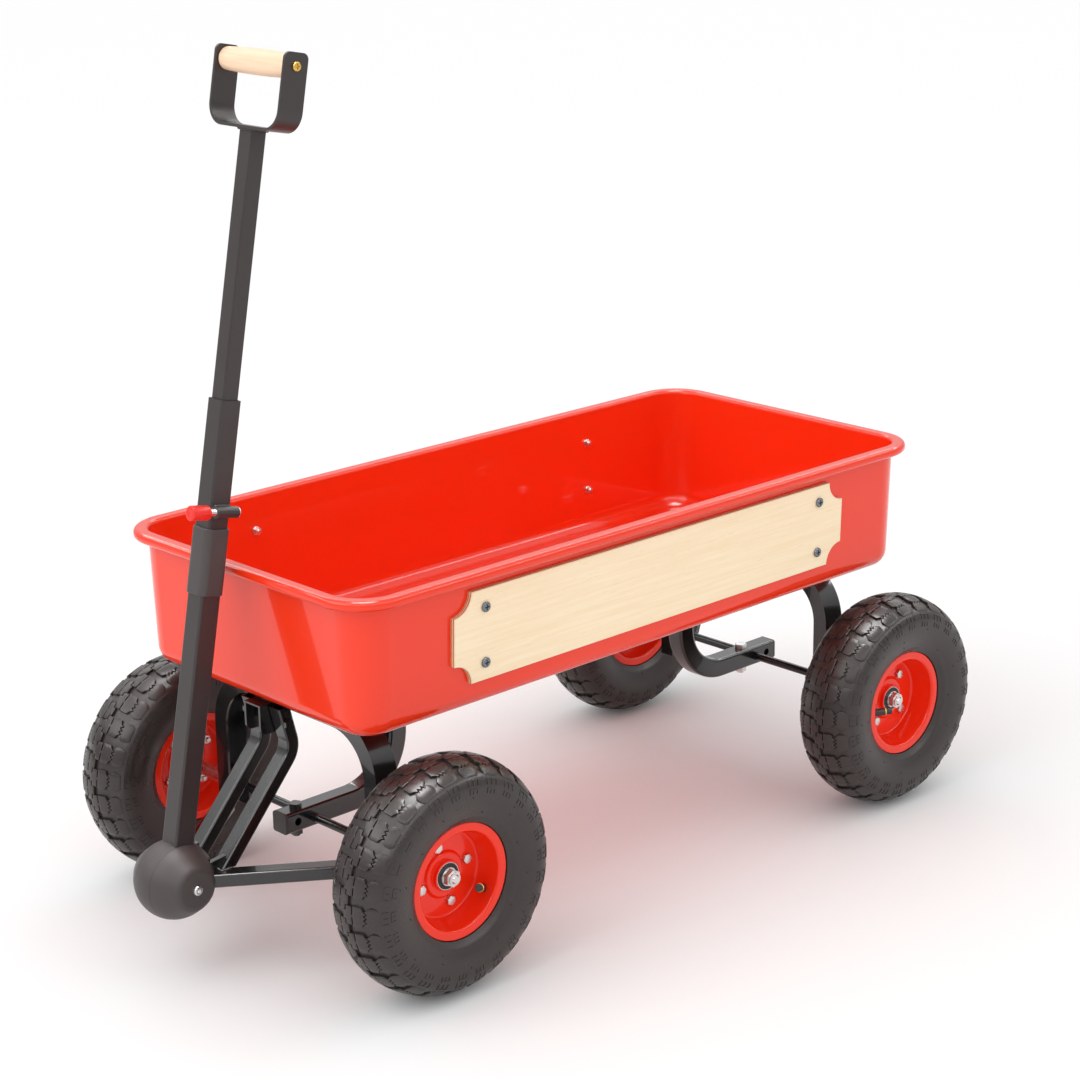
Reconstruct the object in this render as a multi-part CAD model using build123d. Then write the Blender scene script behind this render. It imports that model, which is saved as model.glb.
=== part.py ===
"""Children's pull wagon: a deep-drawn steel tray on two arched axles with
four pneumatic wheels, a steered front truck and a telescopic pull handle.

Units are millimetres. +X points forward to the handle, +Y to the wagon's
left, +Z up. The ground is z = 0 and x = 0 is the middle of the overall length.
"""
from build123d import *
import os
from math import asin, cos, radians, sin, sqrt, tan

# Clearances
running_fit = 0.05        # radial, turning on a shaft
bolt_slip = 0.2           # radial, fastener in its hole
moving_gap = 0.3          # between faces that move past each other
seat_gap = 0.1            # between fixed pieces with curved or taper seats

# Wheels and axles
wheelbase = 726.0
track = 450.0
tyre_od = 260.0
tyre_width = 84.0
tyre_wall = 6.0
tube_width = 46.0
tube_foot = 30.0          # tube's width between the beads
tread_half = 29.0         # middle to the edge of the crown's arc
crown_r = 60.0            # of the tread, seen in section
tread_depth = 3.0
tread_pitches = 26
groove_share = 0.27       # of a pitch
groove_reach = 0.45       # of the shoulder's arc
slot_y = 9.3              # middle to the slot round each half of the tread
slot_width = 1.5
rim_flange_d = 126.0
rim_width = 60.0
rim_sheet = 2.0
rim_well_d = 98.0
rim_ring_w = 7.5          # raised ring round the bearing cup
rim_ring_slope = 2.5
rim_bolt_circle = 66.0
rim_bolt_d = 6.0
rim_bolt_phase = 70.0
valve_angle = 205.0
valve_stem_d = 9.0
axle_d = 10.0
axle_tip = 13.0           # thread showing outside the hub
bearing_od = 30.0
bearing_width = 9.0
hub_half = 10.0           # wheel middle to the outer face of a bearing
spacer_od = 16.0

# Tray
tray_overhang = 85.0      # axle to the outside of the rolled rim, before the tray is set ahead
rim_breadth = 420.0
tray_ahead = 4.0          # tray's middle ahead of the middle of the wheelbase
tray_bottom = 281.0
tray_top = 438.0
tray_sheet = 1.2
rim_reach = 16.0          # wall to the outside of the rolled rim
rim_roll_r = 6.0
rim_corner_r = 40.0       # wall corner under the rim
wall_draft = 4.8          # how far the walls lean out from floor to rim
floor_r = 20.0

# Plaques
plaque_length = 618.0
plaque_height = 102.0
plaque_t = 6.0
plaque_z = 364.0
notch_r = 24.0
plaque_screw_x = 266.0
plaque_screw_z = 31.0
plaque_screw_d = 5.0
plaque_head_d = 11.5

# Arched axle carriers and their hooks
arch_span = 282.0         # over the outside of the legs
arch_corner_r = 71.0
arch_width = 30.0
arch_depth = 20.0
arch_sheet = 3.0
arch_foot = 100.0         # lowest point of the legs
hook_tube = 24.0
hook_wall = 2.5
hook_overhang = 38.0      # axle to the capped end
hook_bend_x = 60.0        # axle to the centre of the bend
hook_bolt_x = 15.0        # axle to the clamp bolt, forward
hook_bolt_d = 8.0
hook_hole_x = 21.0        # axle to the drain hole in the hook's sides
hook_hole_d = 9.0
cap_t = 3.0

# Turntable
plate_t = 2.0
thrust_t = 1.0
turntable_r = 48.0
top_plate_length = 96.0
top_plate_breadth = 130.0
kingpin_d = 12.0
floor_bolt_d = 8.0
rear_bolt_y = 45.0

# Tongue: struts, braces and ball joint
ball_x = 180.0            # ahead of the front axle
ball_z = 110.0
ball_r = 43.0
ball_core = 25.0          # middle slice, as wide as the handle tube
ball_half = 41.0          # centre to the flat disc on each side
ball_taper = 36.0         # degrees, where the ball runs out into a cone
ball_edge_r = 9.0         # round the flat discs
tongue_w = 20.0           # tongue tube, across
tongue_h = 15.0           # tongue tube, deep
tongue_wall = 2.0
strut_spacing = 48.0
knee_x = 36.5             # ahead of the front axle
knee_z = 226.0
strut_top_x = 52.0
strut_foot_x = 138.5      # where the strut's middle line comes down to the ball's height
strut_bend_r = 26.0
strut_eye_r = 14.0
strut_eye_t = 6.0
strut_bolt_z = 258.0
strut_bolt_d = 6.0
pivot_d = 8.0
pivot_head_d = 11.0
ear_t = 3.0
brace_leg_y = 128.0       # brace's middle at the arch's leg

# Handle
handle_lean = 11.0        # degrees back from upright
lower_tube = 25.0
lower_wall = 2.0
lower_top = 515.0         # along the handle, from the ball's centre
upper_tube = 20.0
upper_wall = 1.5
upper_overlap = 110.0
strap_bottom = 791.0
strap_top = 872.0
strap_width = 30.0
strap_t = 3.0
strap_span = 115.0        # over the outside of the arms
strap_bend_r = 21.0
strap_end_r = 7.0
grip_d = 27.0
grip_inset = 14.0         # arm ends to the grip's axis
grip_screw_d = 4.5
sleeve_size = 31.0
sleeve_corner_r = 8.0
sleeve_from = 310.0
sleeve_to = 381.0
latch_drop = 115.0        # lower tube's top down to the latch
latch_barrel_d = 12.5
latch_barrel_rear = -16.0
latch_barrel_front = 11.0
latch_pin_d = 9.0
latch_pin_head_d = 11.0
latch_cap_d = 16.0
latch_cap_length = 24.0
latch_cap_depth = 12.0    # how far the pin reaches into its cap
latch_travel = 8.0

# Derived places
axle_z = tyre_od / 2
front_x = wheelbase / 2
rear_x = -wheelbase / 2
wheel_y = track / 2
stack = 2 * plate_t + thrust_t + moving_gap
crown_z = tray_bottom - stack
strut_y = strut_spacing / 2
pivot_x = front_x + ball_x
half_core = ball_core / 2
front_reach = pivot_x + ball_r
rear_reach = wheelbase / 2 + tyre_od / 2
to_middle = Pos((rear_reach - front_reach) / 2, 0, 0)


def save(name, *solids):
    """Write one piece, or a group of like pieces, as a STEP file."""
    placed = [to_middle * solid for solid in solids]
    shape = placed[0] if len(placed) == 1 else Compound(children=placed)
    export_step(shape, f"parts/{name}.step")


def mirrored(solid):
    """The same piece on the wagon's other side."""
    return mirror(solid, about=Plane.XZ)


def rod(diameter, start, end):
    """Round bar between two points."""
    axis = Vector(*end) - Vector(*start)
    return extrude(Plane(origin=start, z_dir=axis) * Circle(diameter / 2), axis.length)


def hex_prism(flats, start, end):
    """Six-sided bar between two points, sized across its flats."""
    axis = Vector(*end) - Vector(*start)
    outline = RegularPolygon(flats / 2, 6, major_radius=False)
    return extrude(Plane(origin=start, z_dir=axis) * outline, axis.length)


def turned(outline):
    """Ring turned about Y from a face drawn as (distance along Y, radius)."""
    return revolve(Plane.YZ * outline, Axis.Y)


def pressed(points, bends, sheet):
    """Section of a bent sheet: a line with rounded bends, thickened evenly."""
    return make_face(FilletPolyline(*points, radius=bends).offset_2d(sheet / 2))


def band(inner_r, outer_r, start, end):
    """Plain ring about Y."""
    section = Rectangle(end - start, outer_r - inner_r)
    return turned(Pos((start + end) / 2, (inner_r + outer_r) / 2) * section)


def square_tube(width, depth, wall, corner):
    """Section of a drawn tube with rounded corners."""
    return RectangleRounded(width, depth, corner) - RectangleRounded(
        width - 2 * wall, depth - 2 * wall, max(corner - wall, 0.2))


# Wheel, centred on the origin, its outer side towards +Y
flange_r = rim_flange_d / 2
flange_y = rim_width / 2 - rim_sheet / 2
well_r = rim_well_d / 2
seat_r = well_r + 6.0
seat_slope = (seat_r - well_r) / (flange_y - rim_sheet / 2)
carcass_r = tyre_od / 2 - tread_depth


def slot_floor_r():
    """Radius of the floor of the tread's slots, at the carcass."""
    return carcass_r - crown_r + tread_depth + sqrt((crown_r - tread_depth) ** 2 - slot_y ** 2)


def tyre_side(depth):
    """Right half of the tyre's outside in section, from crown to rim, set in by a depth."""
    lip = (flange_y + rim_sheet, flange_r + rim_sheet / 2 + moving_gap)
    half = tyre_width / 2 - depth
    crown_turn = asin(tread_half / crown_r)
    crown_end = ((crown_r - depth) * sin(crown_turn), tyre_od / 2 - crown_r + (crown_r - depth) * cos(crown_turn))
    shoulder_r = (half - crown_end[0]) / (1 - sin(crown_turn))
    widest = (half, crown_end[1] - shoulder_r * cos(crown_turn))
    crown = TangentArc((0, tyre_od / 2 - depth), crown_end, tangent=(1, 0))
    shoulder = TangentArc(crown_end, widest, tangent=(cos(crown_turn), -sin(crown_turn)))
    side = TangentArc(widest, (lip[0] - depth, lip[1]), tangent=(0, -1))
    return [crown, shoulder, side]


def flipped(lines):
    """The same lines on the other side of the wheel's middle."""
    return [mirror(line, about=Plane.YZ) for line in lines]


def tyre():
    """Carcass with beads that sit on the rim, its tread cut into staggered blocks."""
    bead_out = flange_y - rim_sheet / 2 - moving_gap
    bead_w = 9.0
    bead_in = bead_out - bead_w
    heel_r = seat_r + rim_sheet / 2 + moving_gap
    toe_r = heel_r - bead_w * seat_slope
    outside = tyre_side(0)
    inside = tyre_side(tread_depth + tyre_wall)
    lip_y, lip_r = (outside[-1] @ 1).X, (outside[-1] @ 1).Y
    hollow = inside[-1] @ 1
    bead = Polyline((lip_y, lip_r), (bead_out, lip_r), (bead_out, heel_r), (bead_in, toe_r),
                    (bead_in, hollow.Y), (hollow.X, hollow.Y))
    right = outside + inside + [bead]
    carcass = turned(make_face(right + flipped(right)))
    # Each groove runs from the middle over the shoulder, as deep as the tread.
    floor = tyre_side(tread_depth)[:2]
    end = floor[-1] @ groove_reach
    clear = tyre_od / 2 + 1.0
    low = make_face([floor[0], floor[1].trim(0, groove_reach),
                     Polyline((end.X, end.Y), (tyre_width / 2, end.Y), (tyre_width / 2, clear), (0, clear),
                              (0, tyre_od / 2 - tread_depth))])
    pitch = 360.0 / tread_pitches
    groove = revolve(Plane.YZ * low, Axis.Y, revolution_arc=groove_share * pitch)
    cuts = []
    for index in range(tread_pitches):
        cuts.append(Rot(0, index * pitch, 0) * groove)
        cuts.append(Rot(0, (index + 0.5) * pitch, 0) * mirrored(groove))
    slot = band(slot_floor_r(), clear, slot_y - slot_width / 2, slot_y + slot_width / 2)
    return carcass.cut(*cuts, slot, mirrored(slot))


def valve_line():
    """Start and end of the valve stem: from the tube through the well wall."""
    across = radians(valve_angle)
    root_y, root_r = 7.0, well_r + 12.0
    tip_y, tip_r = 27.0, well_r - 16.0
    root = (root_r * cos(across), root_y, root_r * sin(across))
    tip = (tip_r * cos(across), tip_y, tip_r * sin(across))
    return root, tip


def inner_tube():
    """Butyl tube between tyre and rim, with its valve stem and cap."""
    wall = 2.0
    slope = sqrt(1 + seat_slope ** 2)
    # The foot is lowered until it rests on both slopes of the rim.
    foot_r = well_r + (slope - seat_slope) * rim_sheet / 2 + (tube_foot / 2 + seat_gap) * slope
    top_r = carcass_r - tyre_wall - seat_gap - tube_width / 2

    def filled(inset):
        top = Pos(0, top_r) * Circle(tube_width / 2 - inset)
        foot = Pos(0, foot_r) * Circle(tube_foot / 2 - inset)
        return turned(make_hull(top.edges() + foot.edges()))

    root, tip = valve_line()
    stem = rod(valve_stem_d, root, tip)
    along = (Vector(*tip) - Vector(*root)).normalized()
    cap = rod(valve_stem_d - 1.5, tip, tuple(Vector(*tip) + along * 7.0))
    return filled(0).fuse(stem, cap) - filled(wall)


def rim_half():
    """One pressed half: bearing cup, raised ring, disc, well wall and flange."""
    cup_r = bearing_od / 2 + rim_sheet / 2
    face_y = rim_sheet / 2
    ring_y = 4.5
    ring_r = cup_r + rim_ring_w
    line = [
        (hub_half - 0.5, cup_r), (ring_y, cup_r), (ring_y, ring_r), (face_y, ring_r + rim_ring_slope),
        (face_y, well_r), (flange_y, seat_r), (flange_y, flange_r),
    ]
    return turned(pressed(line, [1.5, 1.5, 2.0, 4.0, 2.5], rim_sheet))


def rim():
    """Two pressed halves back to back, drilled for the bolts and the valve."""
    outer_half = rim_half()
    inner_half = mirrored(rim_half())
    for x, z in bolt_places():
        hole = rod(rim_bolt_d + 2 * bolt_slip, (x, -9, z), (x, 9, z))
        outer_half -= hole
        inner_half -= hole
    root, tip = valve_line()
    outer_half -= rod(valve_stem_d + 2 * bolt_slip, root, tip)
    return outer_half, inner_half


def bolt_places():
    """Middle of each rim bolt on its circle, as (x, z)."""
    radius = rim_bolt_circle / 2
    turns = [radians(rim_bolt_phase + 90.0 * index) for index in range(4)]
    return [(radius * cos(turn), radius * sin(turn)) for turn in turns]


def rim_bolts():
    """Hex bolt and nut through both rim halves, four times."""
    flats = rim_bolt_d + 4.0
    bolts = []
    for x, z in bolt_places():
        shank = rod(rim_bolt_d, (x, -rim_sheet - 9.0, z), (x, rim_sheet, z))
        head = hex_prism(flats, (x, rim_sheet, z), (x, rim_sheet + 4.0, z))
        nut = hex_prism(flats, (x, -rim_sheet - 5.0, z), (x, -rim_sheet, z))
        bolts.append(shank + head + nut)
    return bolts


def bearings():
    """Shielded ball bearing in each cup; the shield sits back from the races."""
    bore = axle_d / 2 + running_fit
    out = bearing_od / 2
    section = Rectangle(bearing_width, out - bore)
    shield = Rectangle(1.2, (out - bore) * 0.5)
    for side in (1, -1):
        section -= Pos(side * (bearing_width / 2 - 0.6), 0) * shield
    middle = hub_half - bearing_width / 2
    radius = (out + bore) / 2
    return [turned(Pos(side * middle, radius) * section) for side in (1, -1)]


wheel_pieces = {
    "tyre": [tyre()],
    "inner_tube": [inner_tube()],
    "rim": list(rim()),
    "rim_bolts": rim_bolts(),
    "bearings": bearings(),
}


def wheel_place(axle_x, side, rolled):
    """Where a wheel stands, valve outward, rolled in degrees about its axle as it came to rest."""
    facing = 0.0 if side > 0 else 180.0
    return Pos(axle_x, side * wheel_y, axle_z) * Rot(0, 0, facing) * Rot(0, rolled, 0)


wheel_places = {
    "front_left": wheel_place(front_x, 1, -6.0),
    "front_right": wheel_place(front_x, -1, 35.0),
    "rear_left": wheel_place(rear_x, 1, -150.0),
    "rear_right": wheel_place(rear_x, -1, 75.0),
}


# Axles with their spacers, washers and lock nuts
def axle(x):
    """Round bar, chamfered at both threaded ends."""
    tip = wheel_y + hub_half + axle_tip
    bar = rod(axle_d, (x, -tip, axle_z), (x, tip, axle_z))
    return chamfer(bar.edges().filter_by(GeomType.CIRCLE), 1.0)


def axle_spacers(x):
    """Tube from each leg to the inner bearing."""
    bore = axle_d / 2 + bolt_slip
    leg = arch_span / 2
    inner_bearing = wheel_y - hub_half - moving_gap
    sleeve = Pos(x, 0, axle_z) * band(bore, spacer_od / 2, leg, inner_bearing)
    return sleeve, mirrored(sleeve)


def axle_nuts(x):
    """Washer and nylon-collar lock nut outside each wheel."""
    bore = axle_d / 2 + bolt_slip
    face = wheel_y + hub_half + moving_gap
    washer = band(bore, axle_d, face, face + 1.6)
    start = face + 1.6
    nut = hex_prism(axle_d * 1.7, (0, start, 0), (0, start + axle_d * 0.7, 0))
    collar = band(bore, axle_d * 0.72, start + axle_d * 0.7, start + axle_d * 0.95)
    nut = nut + collar - rod(2 * bore, (0, start - 1, 0), (0, start + axle_d, 0))
    left = [Pos(x, 0, axle_z) * piece for piece in (washer, nut)]
    return left + [mirrored(piece) for piece in left]


# Tray
top_length = wheelbase + 2 * (tray_overhang - rim_reach)
top_breadth = rim_breadth - 2 * rim_reach
wall_height = tray_top - rim_roll_r - tray_bottom
wall_lean = wall_draft / wall_height


def pan(inset):
    """Solid of the tray's inside or outside, leaning out towards the top."""
    base_z = tray_bottom + inset
    lean = 2 * wall_draft
    length = top_length - 2 * inset
    breadth = top_breadth - 2 * inset
    corner = rim_corner_r - inset
    low = Pos(0, 0, base_z) * RectangleRounded(length - lean, breadth - lean, corner - wall_draft)
    high = Pos(0, 0, tray_bottom + wall_height) * RectangleRounded(length, breadth, corner)
    block = loft([low, high], ruled=True)
    return fillet(block.faces().sort_by(Axis.Z)[0].edges(), floor_r - inset)


def rolled_rim():
    """Wall top turned outwards and rolled under, swept round the tray."""
    seam = tray_bottom + wall_height
    path = (Pos(0, 0, seam) * RectangleRounded(top_length, top_breadth, rim_corner_r)).wire()
    start = path @ 0.0
    ahead = path % 0.0
    outward = ahead.cross(Vector(0, 0, 1))
    if outward.dot(Vector(start.X, start.Y, 0)) < 0:
        outward = outward * -1
    half = tray_sheet / 2
    out = rim_reach - half
    up = tray_top - half - seam
    line = [(-half, 0), (-half, up), (out, up), (out, up - 2 * rim_roll_r + tray_sheet),
            (out - rim_roll_r - 1.0, up - 2 * rim_roll_r + tray_sheet)]
    roll = rim_roll_r - half
    section = pressed(line, [4.0, roll * 0.95, roll * 0.95], tray_sheet)
    frame = Plane(origin=start, x_dir=outward, z_dir=outward.cross(Vector(0, 0, 1)))
    return sweep(frame * section, path=path)


def tray():
    """Drawn pan with a rolled rim, drilled for every fastener."""
    shell = pan(0) - pan(tray_sheet)
    body = Pos(tray_ahead, 0, 0) * (shell + rolled_rim())
    for x, y in floor_holes():
        body -= rod(floor_bolt_d + 2 * bolt_slip, (x, y, tray_bottom - 5), (x, y, tray_bottom + 5))
    body -= rod(kingpin_d + 2 * bolt_slip, (front_x, 0, tray_bottom - 5), (front_x, 0, tray_bottom + 5))
    for hole in plaque_holes(plaque_screw_d + 2 * bolt_slip):
        body -= hole
        body -= mirrored(hole)
    return body


def floor_holes():
    """Every bolt through the floor: four round the kingpin, two at the rear."""
    along = top_plate_length / 2 - 14.0
    across = top_plate_breadth / 2 - 14.0
    front = [(front_x - 8.0 + sx * along, sy * across) for sx in (1, -1) for sy in (1, -1)]
    return front + [(rear_x, rear_bolt_y), (rear_x, -rear_bolt_y)]


# Plaques on the tray's sides
def wall_plane():
    """Plane on the left wall's outside, at the plaque's middle, facing out."""
    wall_y = top_breadth / 2 - wall_draft + (plaque_z - tray_bottom) * wall_lean
    return Plane(origin=(tray_ahead, wall_y, plaque_z), x_dir=(1, 0, 0), z_dir=(0, 1, -wall_lean))


def plaque_holes(diameter):
    """Bar through each screw's place, square to the wall."""
    bars = []
    for x in (plaque_screw_x, -plaque_screw_x):
        for z in (plaque_screw_z, -plaque_screw_z):
            bars.append(extrude(wall_plane() * Pos(x, z) * Circle(diameter / 2), 15, both=True))
    return bars


def plaque():
    """Board with a quarter-round bite out of each corner."""
    board = Rectangle(plaque_length, plaque_height)
    for sx in (1, -1):
        for sy in (1, -1):
            board -= Pos(sx * plaque_length / 2, sy * plaque_height / 2) * Circle(notch_r)
    slab = extrude(wall_plane() * board, plaque_t)
    face = slab.faces().sort_by(Axis.Y)[-1]
    slab = chamfer(face.outer_wire().edges(), 0.8)
    for hole in plaque_holes(plaque_screw_d + 2 * bolt_slip):
        slab -= hole
    return slab


def plaque_screws():
    """Pan-head screw with a nut and washer inside the tray."""
    pieces = []
    for x in (plaque_screw_x, -plaque_screw_x):
        for z in (plaque_screw_z, -plaque_screw_z):
            out = wall_plane().offset(plaque_t) * Pos(x, z)
            inside = wall_plane().offset(-tray_sheet - seat_gap) * Pos(x, z)
            head = fillet(extrude(out * Circle(plaque_head_d / 2), 2.8).edges().sort_by(Axis.Y)[-1:], 1.6)
            shank = extrude(out * Circle(plaque_screw_d / 2), -(plaque_t + tray_sheet + 7.0))
            washer = extrude(inside * Circle(plaque_screw_d), -1.0)
            nut = extrude(inside * RegularPolygon(plaque_screw_d * 0.8, 6, major_radius=False), -5.0)
            pieces.append(head + shank + washer + nut)
    return pieces + [mirrored(piece) for piece in pieces]


# Arch and hook, shared by both axles; ahead is +1 where the hook's end points forward
def arch_outline(inset):
    """Arch seen from the front, inset from its outside, as (y, z)."""
    height = crown_z - inset - arch_foot
    block = Pos(0, arch_foot + height / 2) * Rectangle(arch_span - 2 * inset, height)
    return fillet(block.vertices().group_by(Axis.Y)[-1], arch_corner_r - inset)


def arch(x):
    """Channel bent into an arch: the web outside, two flanges inside."""
    web = arch_outline(0) - arch_outline(arch_sheet)
    flange = arch_outline(0) - arch_outline(arch_depth)
    body = extrude(Plane.YZ * web, arch_width / 2, both=True)
    for side in (1, -1):
        lip = extrude(Plane.YZ * flange, arch_sheet)
        body += Pos(side * arch_width / 2 - (arch_sheet if side > 0 else 0), 0, 0) * lip
    leg = arch_span / 2
    body -= rod(axle_d + 2 * running_fit, (0, -leg - 1, axle_z), (0, leg + 1, axle_z))
    return Pos(x, 0, 0) * body


hook_top_z = crown_z - hook_tube / 2


def hook(x, ahead):
    """C-shaped tube from the crown of the arch round to the axle."""
    crown = -ahead * arch_width / 2
    bend = -ahead * hook_bend_x
    end = ahead * (hook_overhang - cap_t)
    mid_z = (hook_top_z + axle_z) / 2
    radius = (hook_top_z - axle_z) / 2
    path = Wire([
        Line((end, 0, axle_z), (bend, 0, axle_z)),
        ThreePointArc((bend, 0, axle_z), (bend - ahead * radius, 0, mid_z), (bend, 0, hook_top_z)),
        Line((bend, 0, hook_top_z), (crown, 0, hook_top_z)),
    ])
    section = square_tube(hook_tube, hook_tube, hook_wall, 3.5)
    tube = sweep(Plane(origin=(end, 0, axle_z), z_dir=(-ahead, 0, 0)) * section, path=path)
    half = hook_tube / 2
    tube -= rod(axle_d + 2 * running_fit, (0, -half - 1, axle_z), (0, half + 1, axle_z))
    hole_d = hook_bolt_d + 2 * bolt_slip
    tube -= rod(hole_d, (hook_bolt_x, 0, axle_z - half - 1), (hook_bolt_x, 0, axle_z + half + 1))
    drain_x = ahead * hook_hole_x
    tube -= rod(hook_hole_d, (drain_x, -half - 1, axle_z), (drain_x, half + 1, axle_z))
    return Pos(x, 0, 0) * tube


def hook_cap(x, ahead):
    """Plastic plug in the open end of the hook."""
    end = ahead * (hook_overhang - cap_t)
    base = Plane(origin=(end, 0, axle_z), z_dir=(ahead, 0, 0))
    face = extrude(base * RectangleRounded(hook_tube, hook_tube, 3.5), cap_t)
    face = fillet(face.faces().sort_by(Axis.X)[-1 if ahead > 0 else 0].edges(), 1.2)
    bore = hook_tube - 2 * hook_wall - 2 * seat_gap
    plug = extrude(base * RectangleRounded(bore, bore, 1.5), -8.0)
    return Pos(x, 0, 0) * (face + plug)


def hook_bolt(x):
    """Bolt and nut that clamp the hook beside the axle."""
    half = hook_tube / 2
    top = axle_z + half
    low = axle_z - half
    place = (x + hook_bolt_x, 0)
    flats = hook_bolt_d * 1.6
    shank = rod(hook_bolt_d, (*place, low - 9.0), (*place, top))
    head = hex_prism(flats, (*place, top), (*place, top + 5.5))
    nut = hex_prism(flats, (*place, low - 6.5), (*place, low))
    return shank + head + nut


# Turntable between the tray and the front arch
def top_plate():
    """Plate screwed under the tray floor round the kingpin."""
    outline = Pos(front_x - 8.0, 0) * RectangleRounded(top_plate_length, top_plate_breadth, 14)
    plate = extrude(Pos(0, 0, tray_bottom - plate_t) * outline, plate_t)
    plate -= rod(kingpin_d + 2 * bolt_slip, (front_x, 0, tray_bottom - 9), (front_x, 0, tray_bottom + 1))
    for x, y in floor_holes()[:4]:
        plate -= rod(floor_bolt_d + 2 * bolt_slip, (x, y, tray_bottom - 9), (x, y, tray_bottom + 1))
    return plate


def top_plate_bolts():
    """Flush-headed screws with nuts inside the tray."""
    floor = tray_bottom + tray_sheet
    low = tray_bottom - plate_t
    pieces = []
    for x, y in floor_holes()[:4]:
        shank = rod(floor_bolt_d, (x, y, low), (x, y, floor + 8.0))
        nut = hex_prism(floor_bolt_d * 1.6, (x, y, floor), (x, y, floor + 6.0))
        pieces.append(shank + nut)
    return pieces


def thrust_washer():
    """Nylon ring that the turntable slides on."""
    z = tray_bottom - plate_t - thrust_t
    ring = Circle(turntable_r) - Circle(kingpin_d / 2 + bolt_slip)
    return extrude(Pos(front_x, 0, z) * ring, thrust_t)


ear_y = strut_y - tongue_w / 2 - seat_gap


def turntable_plate():
    """Disc on the arch's crown with two ears bent down for the struts."""
    tip = strut_top_x + tongue_h
    outline = Circle(turntable_r) + Pos(tip / 2, 0) * Rectangle(tip, 2 * ear_y)
    plate = extrude(Pos(0, 0, crown_z) * outline, plate_t)
    ear_length = tip - knee_x + 4.0
    ear_drop = crown_z - strut_bolt_z + 14.0
    ear_x = tip - ear_length / 2
    ear = Pos(ear_x, crown_z - ear_drop / 2) * RectangleRounded(ear_length, ear_drop, 8.0)
    ear += Pos(ear_x, crown_z - ear_drop / 4) * Rectangle(ear_length, ear_drop / 2)
    flap = extrude(Plane.XZ * ear, ear_t)
    body = plate + Pos(0, ear_y, 0) * flap + Pos(0, -ear_y + ear_t, 0) * flap
    bolt_x = strut_bolt_x()
    hole_d = strut_bolt_d + 2 * bolt_slip
    body -= rod(hole_d, (bolt_x, -ear_y - 1, strut_bolt_z), (bolt_x, ear_y + 1, strut_bolt_z))
    body -= rod(kingpin_d + 2 * running_fit, (0, 0, crown_z - 1), (0, 0, crown_z + plate_t + 1))
    return Pos(front_x, 0, 0) * body


def kingpin():
    """Bolt down through floor, plates and crown, with a washer and lock nut."""
    floor = tray_bottom + tray_sheet
    under = crown_z - arch_sheet - moving_gap
    head = hex_prism(kingpin_d * 1.5, (front_x, 0, floor + 2.0), (front_x, 0, floor + 9.5))
    washer = rod(kingpin_d * 2.4, (front_x, 0, floor), (front_x, 0, floor + 2.0))
    shank = rod(kingpin_d, (front_x, 0, under - 13.0), (front_x, 0, floor + 2.0))
    low_washer = rod(kingpin_d * 2.0, (front_x, 0, under - 2.0), (front_x, 0, under))
    nut = hex_prism(kingpin_d * 1.5, (front_x, 0, under - 12.0), (front_x, 0, under - 2.0))
    return head + washer + shank + low_washer + nut


def rear_plate():
    """Packing plate between the tray floor and the rear arch."""
    outline = Pos(rear_x, 0) * RectangleRounded(top_plate_length, top_plate_breadth, 14)
    plate = extrude(Pos(0, 0, crown_z) * outline, stack)
    for x, y in floor_holes()[4:]:
        plate -= rod(floor_bolt_d + 2 * bolt_slip, (x, y, crown_z - 1), (x, y, tray_bottom + 1))
    return plate


def rear_bolts():
    """Round-headed bolts down through floor, plate and arch."""
    floor = tray_bottom + tray_sheet
    under = crown_z - arch_sheet
    pieces = []
    for x, y in floor_holes()[4:]:
        shank = rod(floor_bolt_d, (x, y, under - 9.0), (x, y, floor))
        head = rod(floor_bolt_d * 2.4, (x, y, floor), (x, y, floor + 4.0))
        head = fillet(head.edges().sort_by(Axis.Z)[-1:], 3.0)
        nut = hex_prism(floor_bolt_d * 1.6, (x, y, under - 6.5), (x, y, under))
        pieces.append(shank + head + nut)
    return pieces


def drilled(solid, x, places, diameter):
    """Arch with its crown drilled."""
    for y in places:
        solid -= rod(diameter, (x, y, crown_z - arch_sheet - 1), (x, y, crown_z + 1))
    return solid


# Tongue: two bent struts, two braces and the ball joint
def strut_bolt_x():
    """Strut middle at the height of its bolt, ahead of the front axle."""
    return knee_x + (strut_bolt_z - knee_z) / (crown_z - knee_z) * (strut_top_x - knee_x)


def ball_form(grow):
    """Ball that runs out into a blunt cone on both sides, with room grown round it."""
    radius, half = ball_r + grow, ball_half + grow
    cone_y, cone_r = radius * sin(radians(ball_taper)), radius * cos(radians(ball_taper))
    flat_r = cone_r - (half - cone_y) * tan(radians(ball_taper))
    crown = ThreePointArc((-cone_y, cone_r), (0, radius), (cone_y, cone_r))
    sides = Polyline((cone_y, cone_r), (half, flat_r), (half, 0), (-half, 0), (-half, flat_r), (-cone_y, cone_r))
    return turned(make_face([crown, sides]))


def ball_room():
    """The ball with its seat gap, cut away from the struts and braces."""
    return Pos(pivot_x, 0, ball_z) * ball_form(seat_gap)


def brace_bar(section):
    """Left brace before its ends are cut: from the arch's leg to the strut's foot."""
    start = Vector(front_x, brace_leg_y + 8.0, ball_z)
    end = Vector(pivot_x - half_core, strut_y - 8.0, ball_z)
    axis = end - start
    side = axis.normalized().cross(Vector(0, 0, 1))
    return extrude(Plane(origin=start, x_dir=side, z_dir=axis) * section, axis.length)


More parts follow.
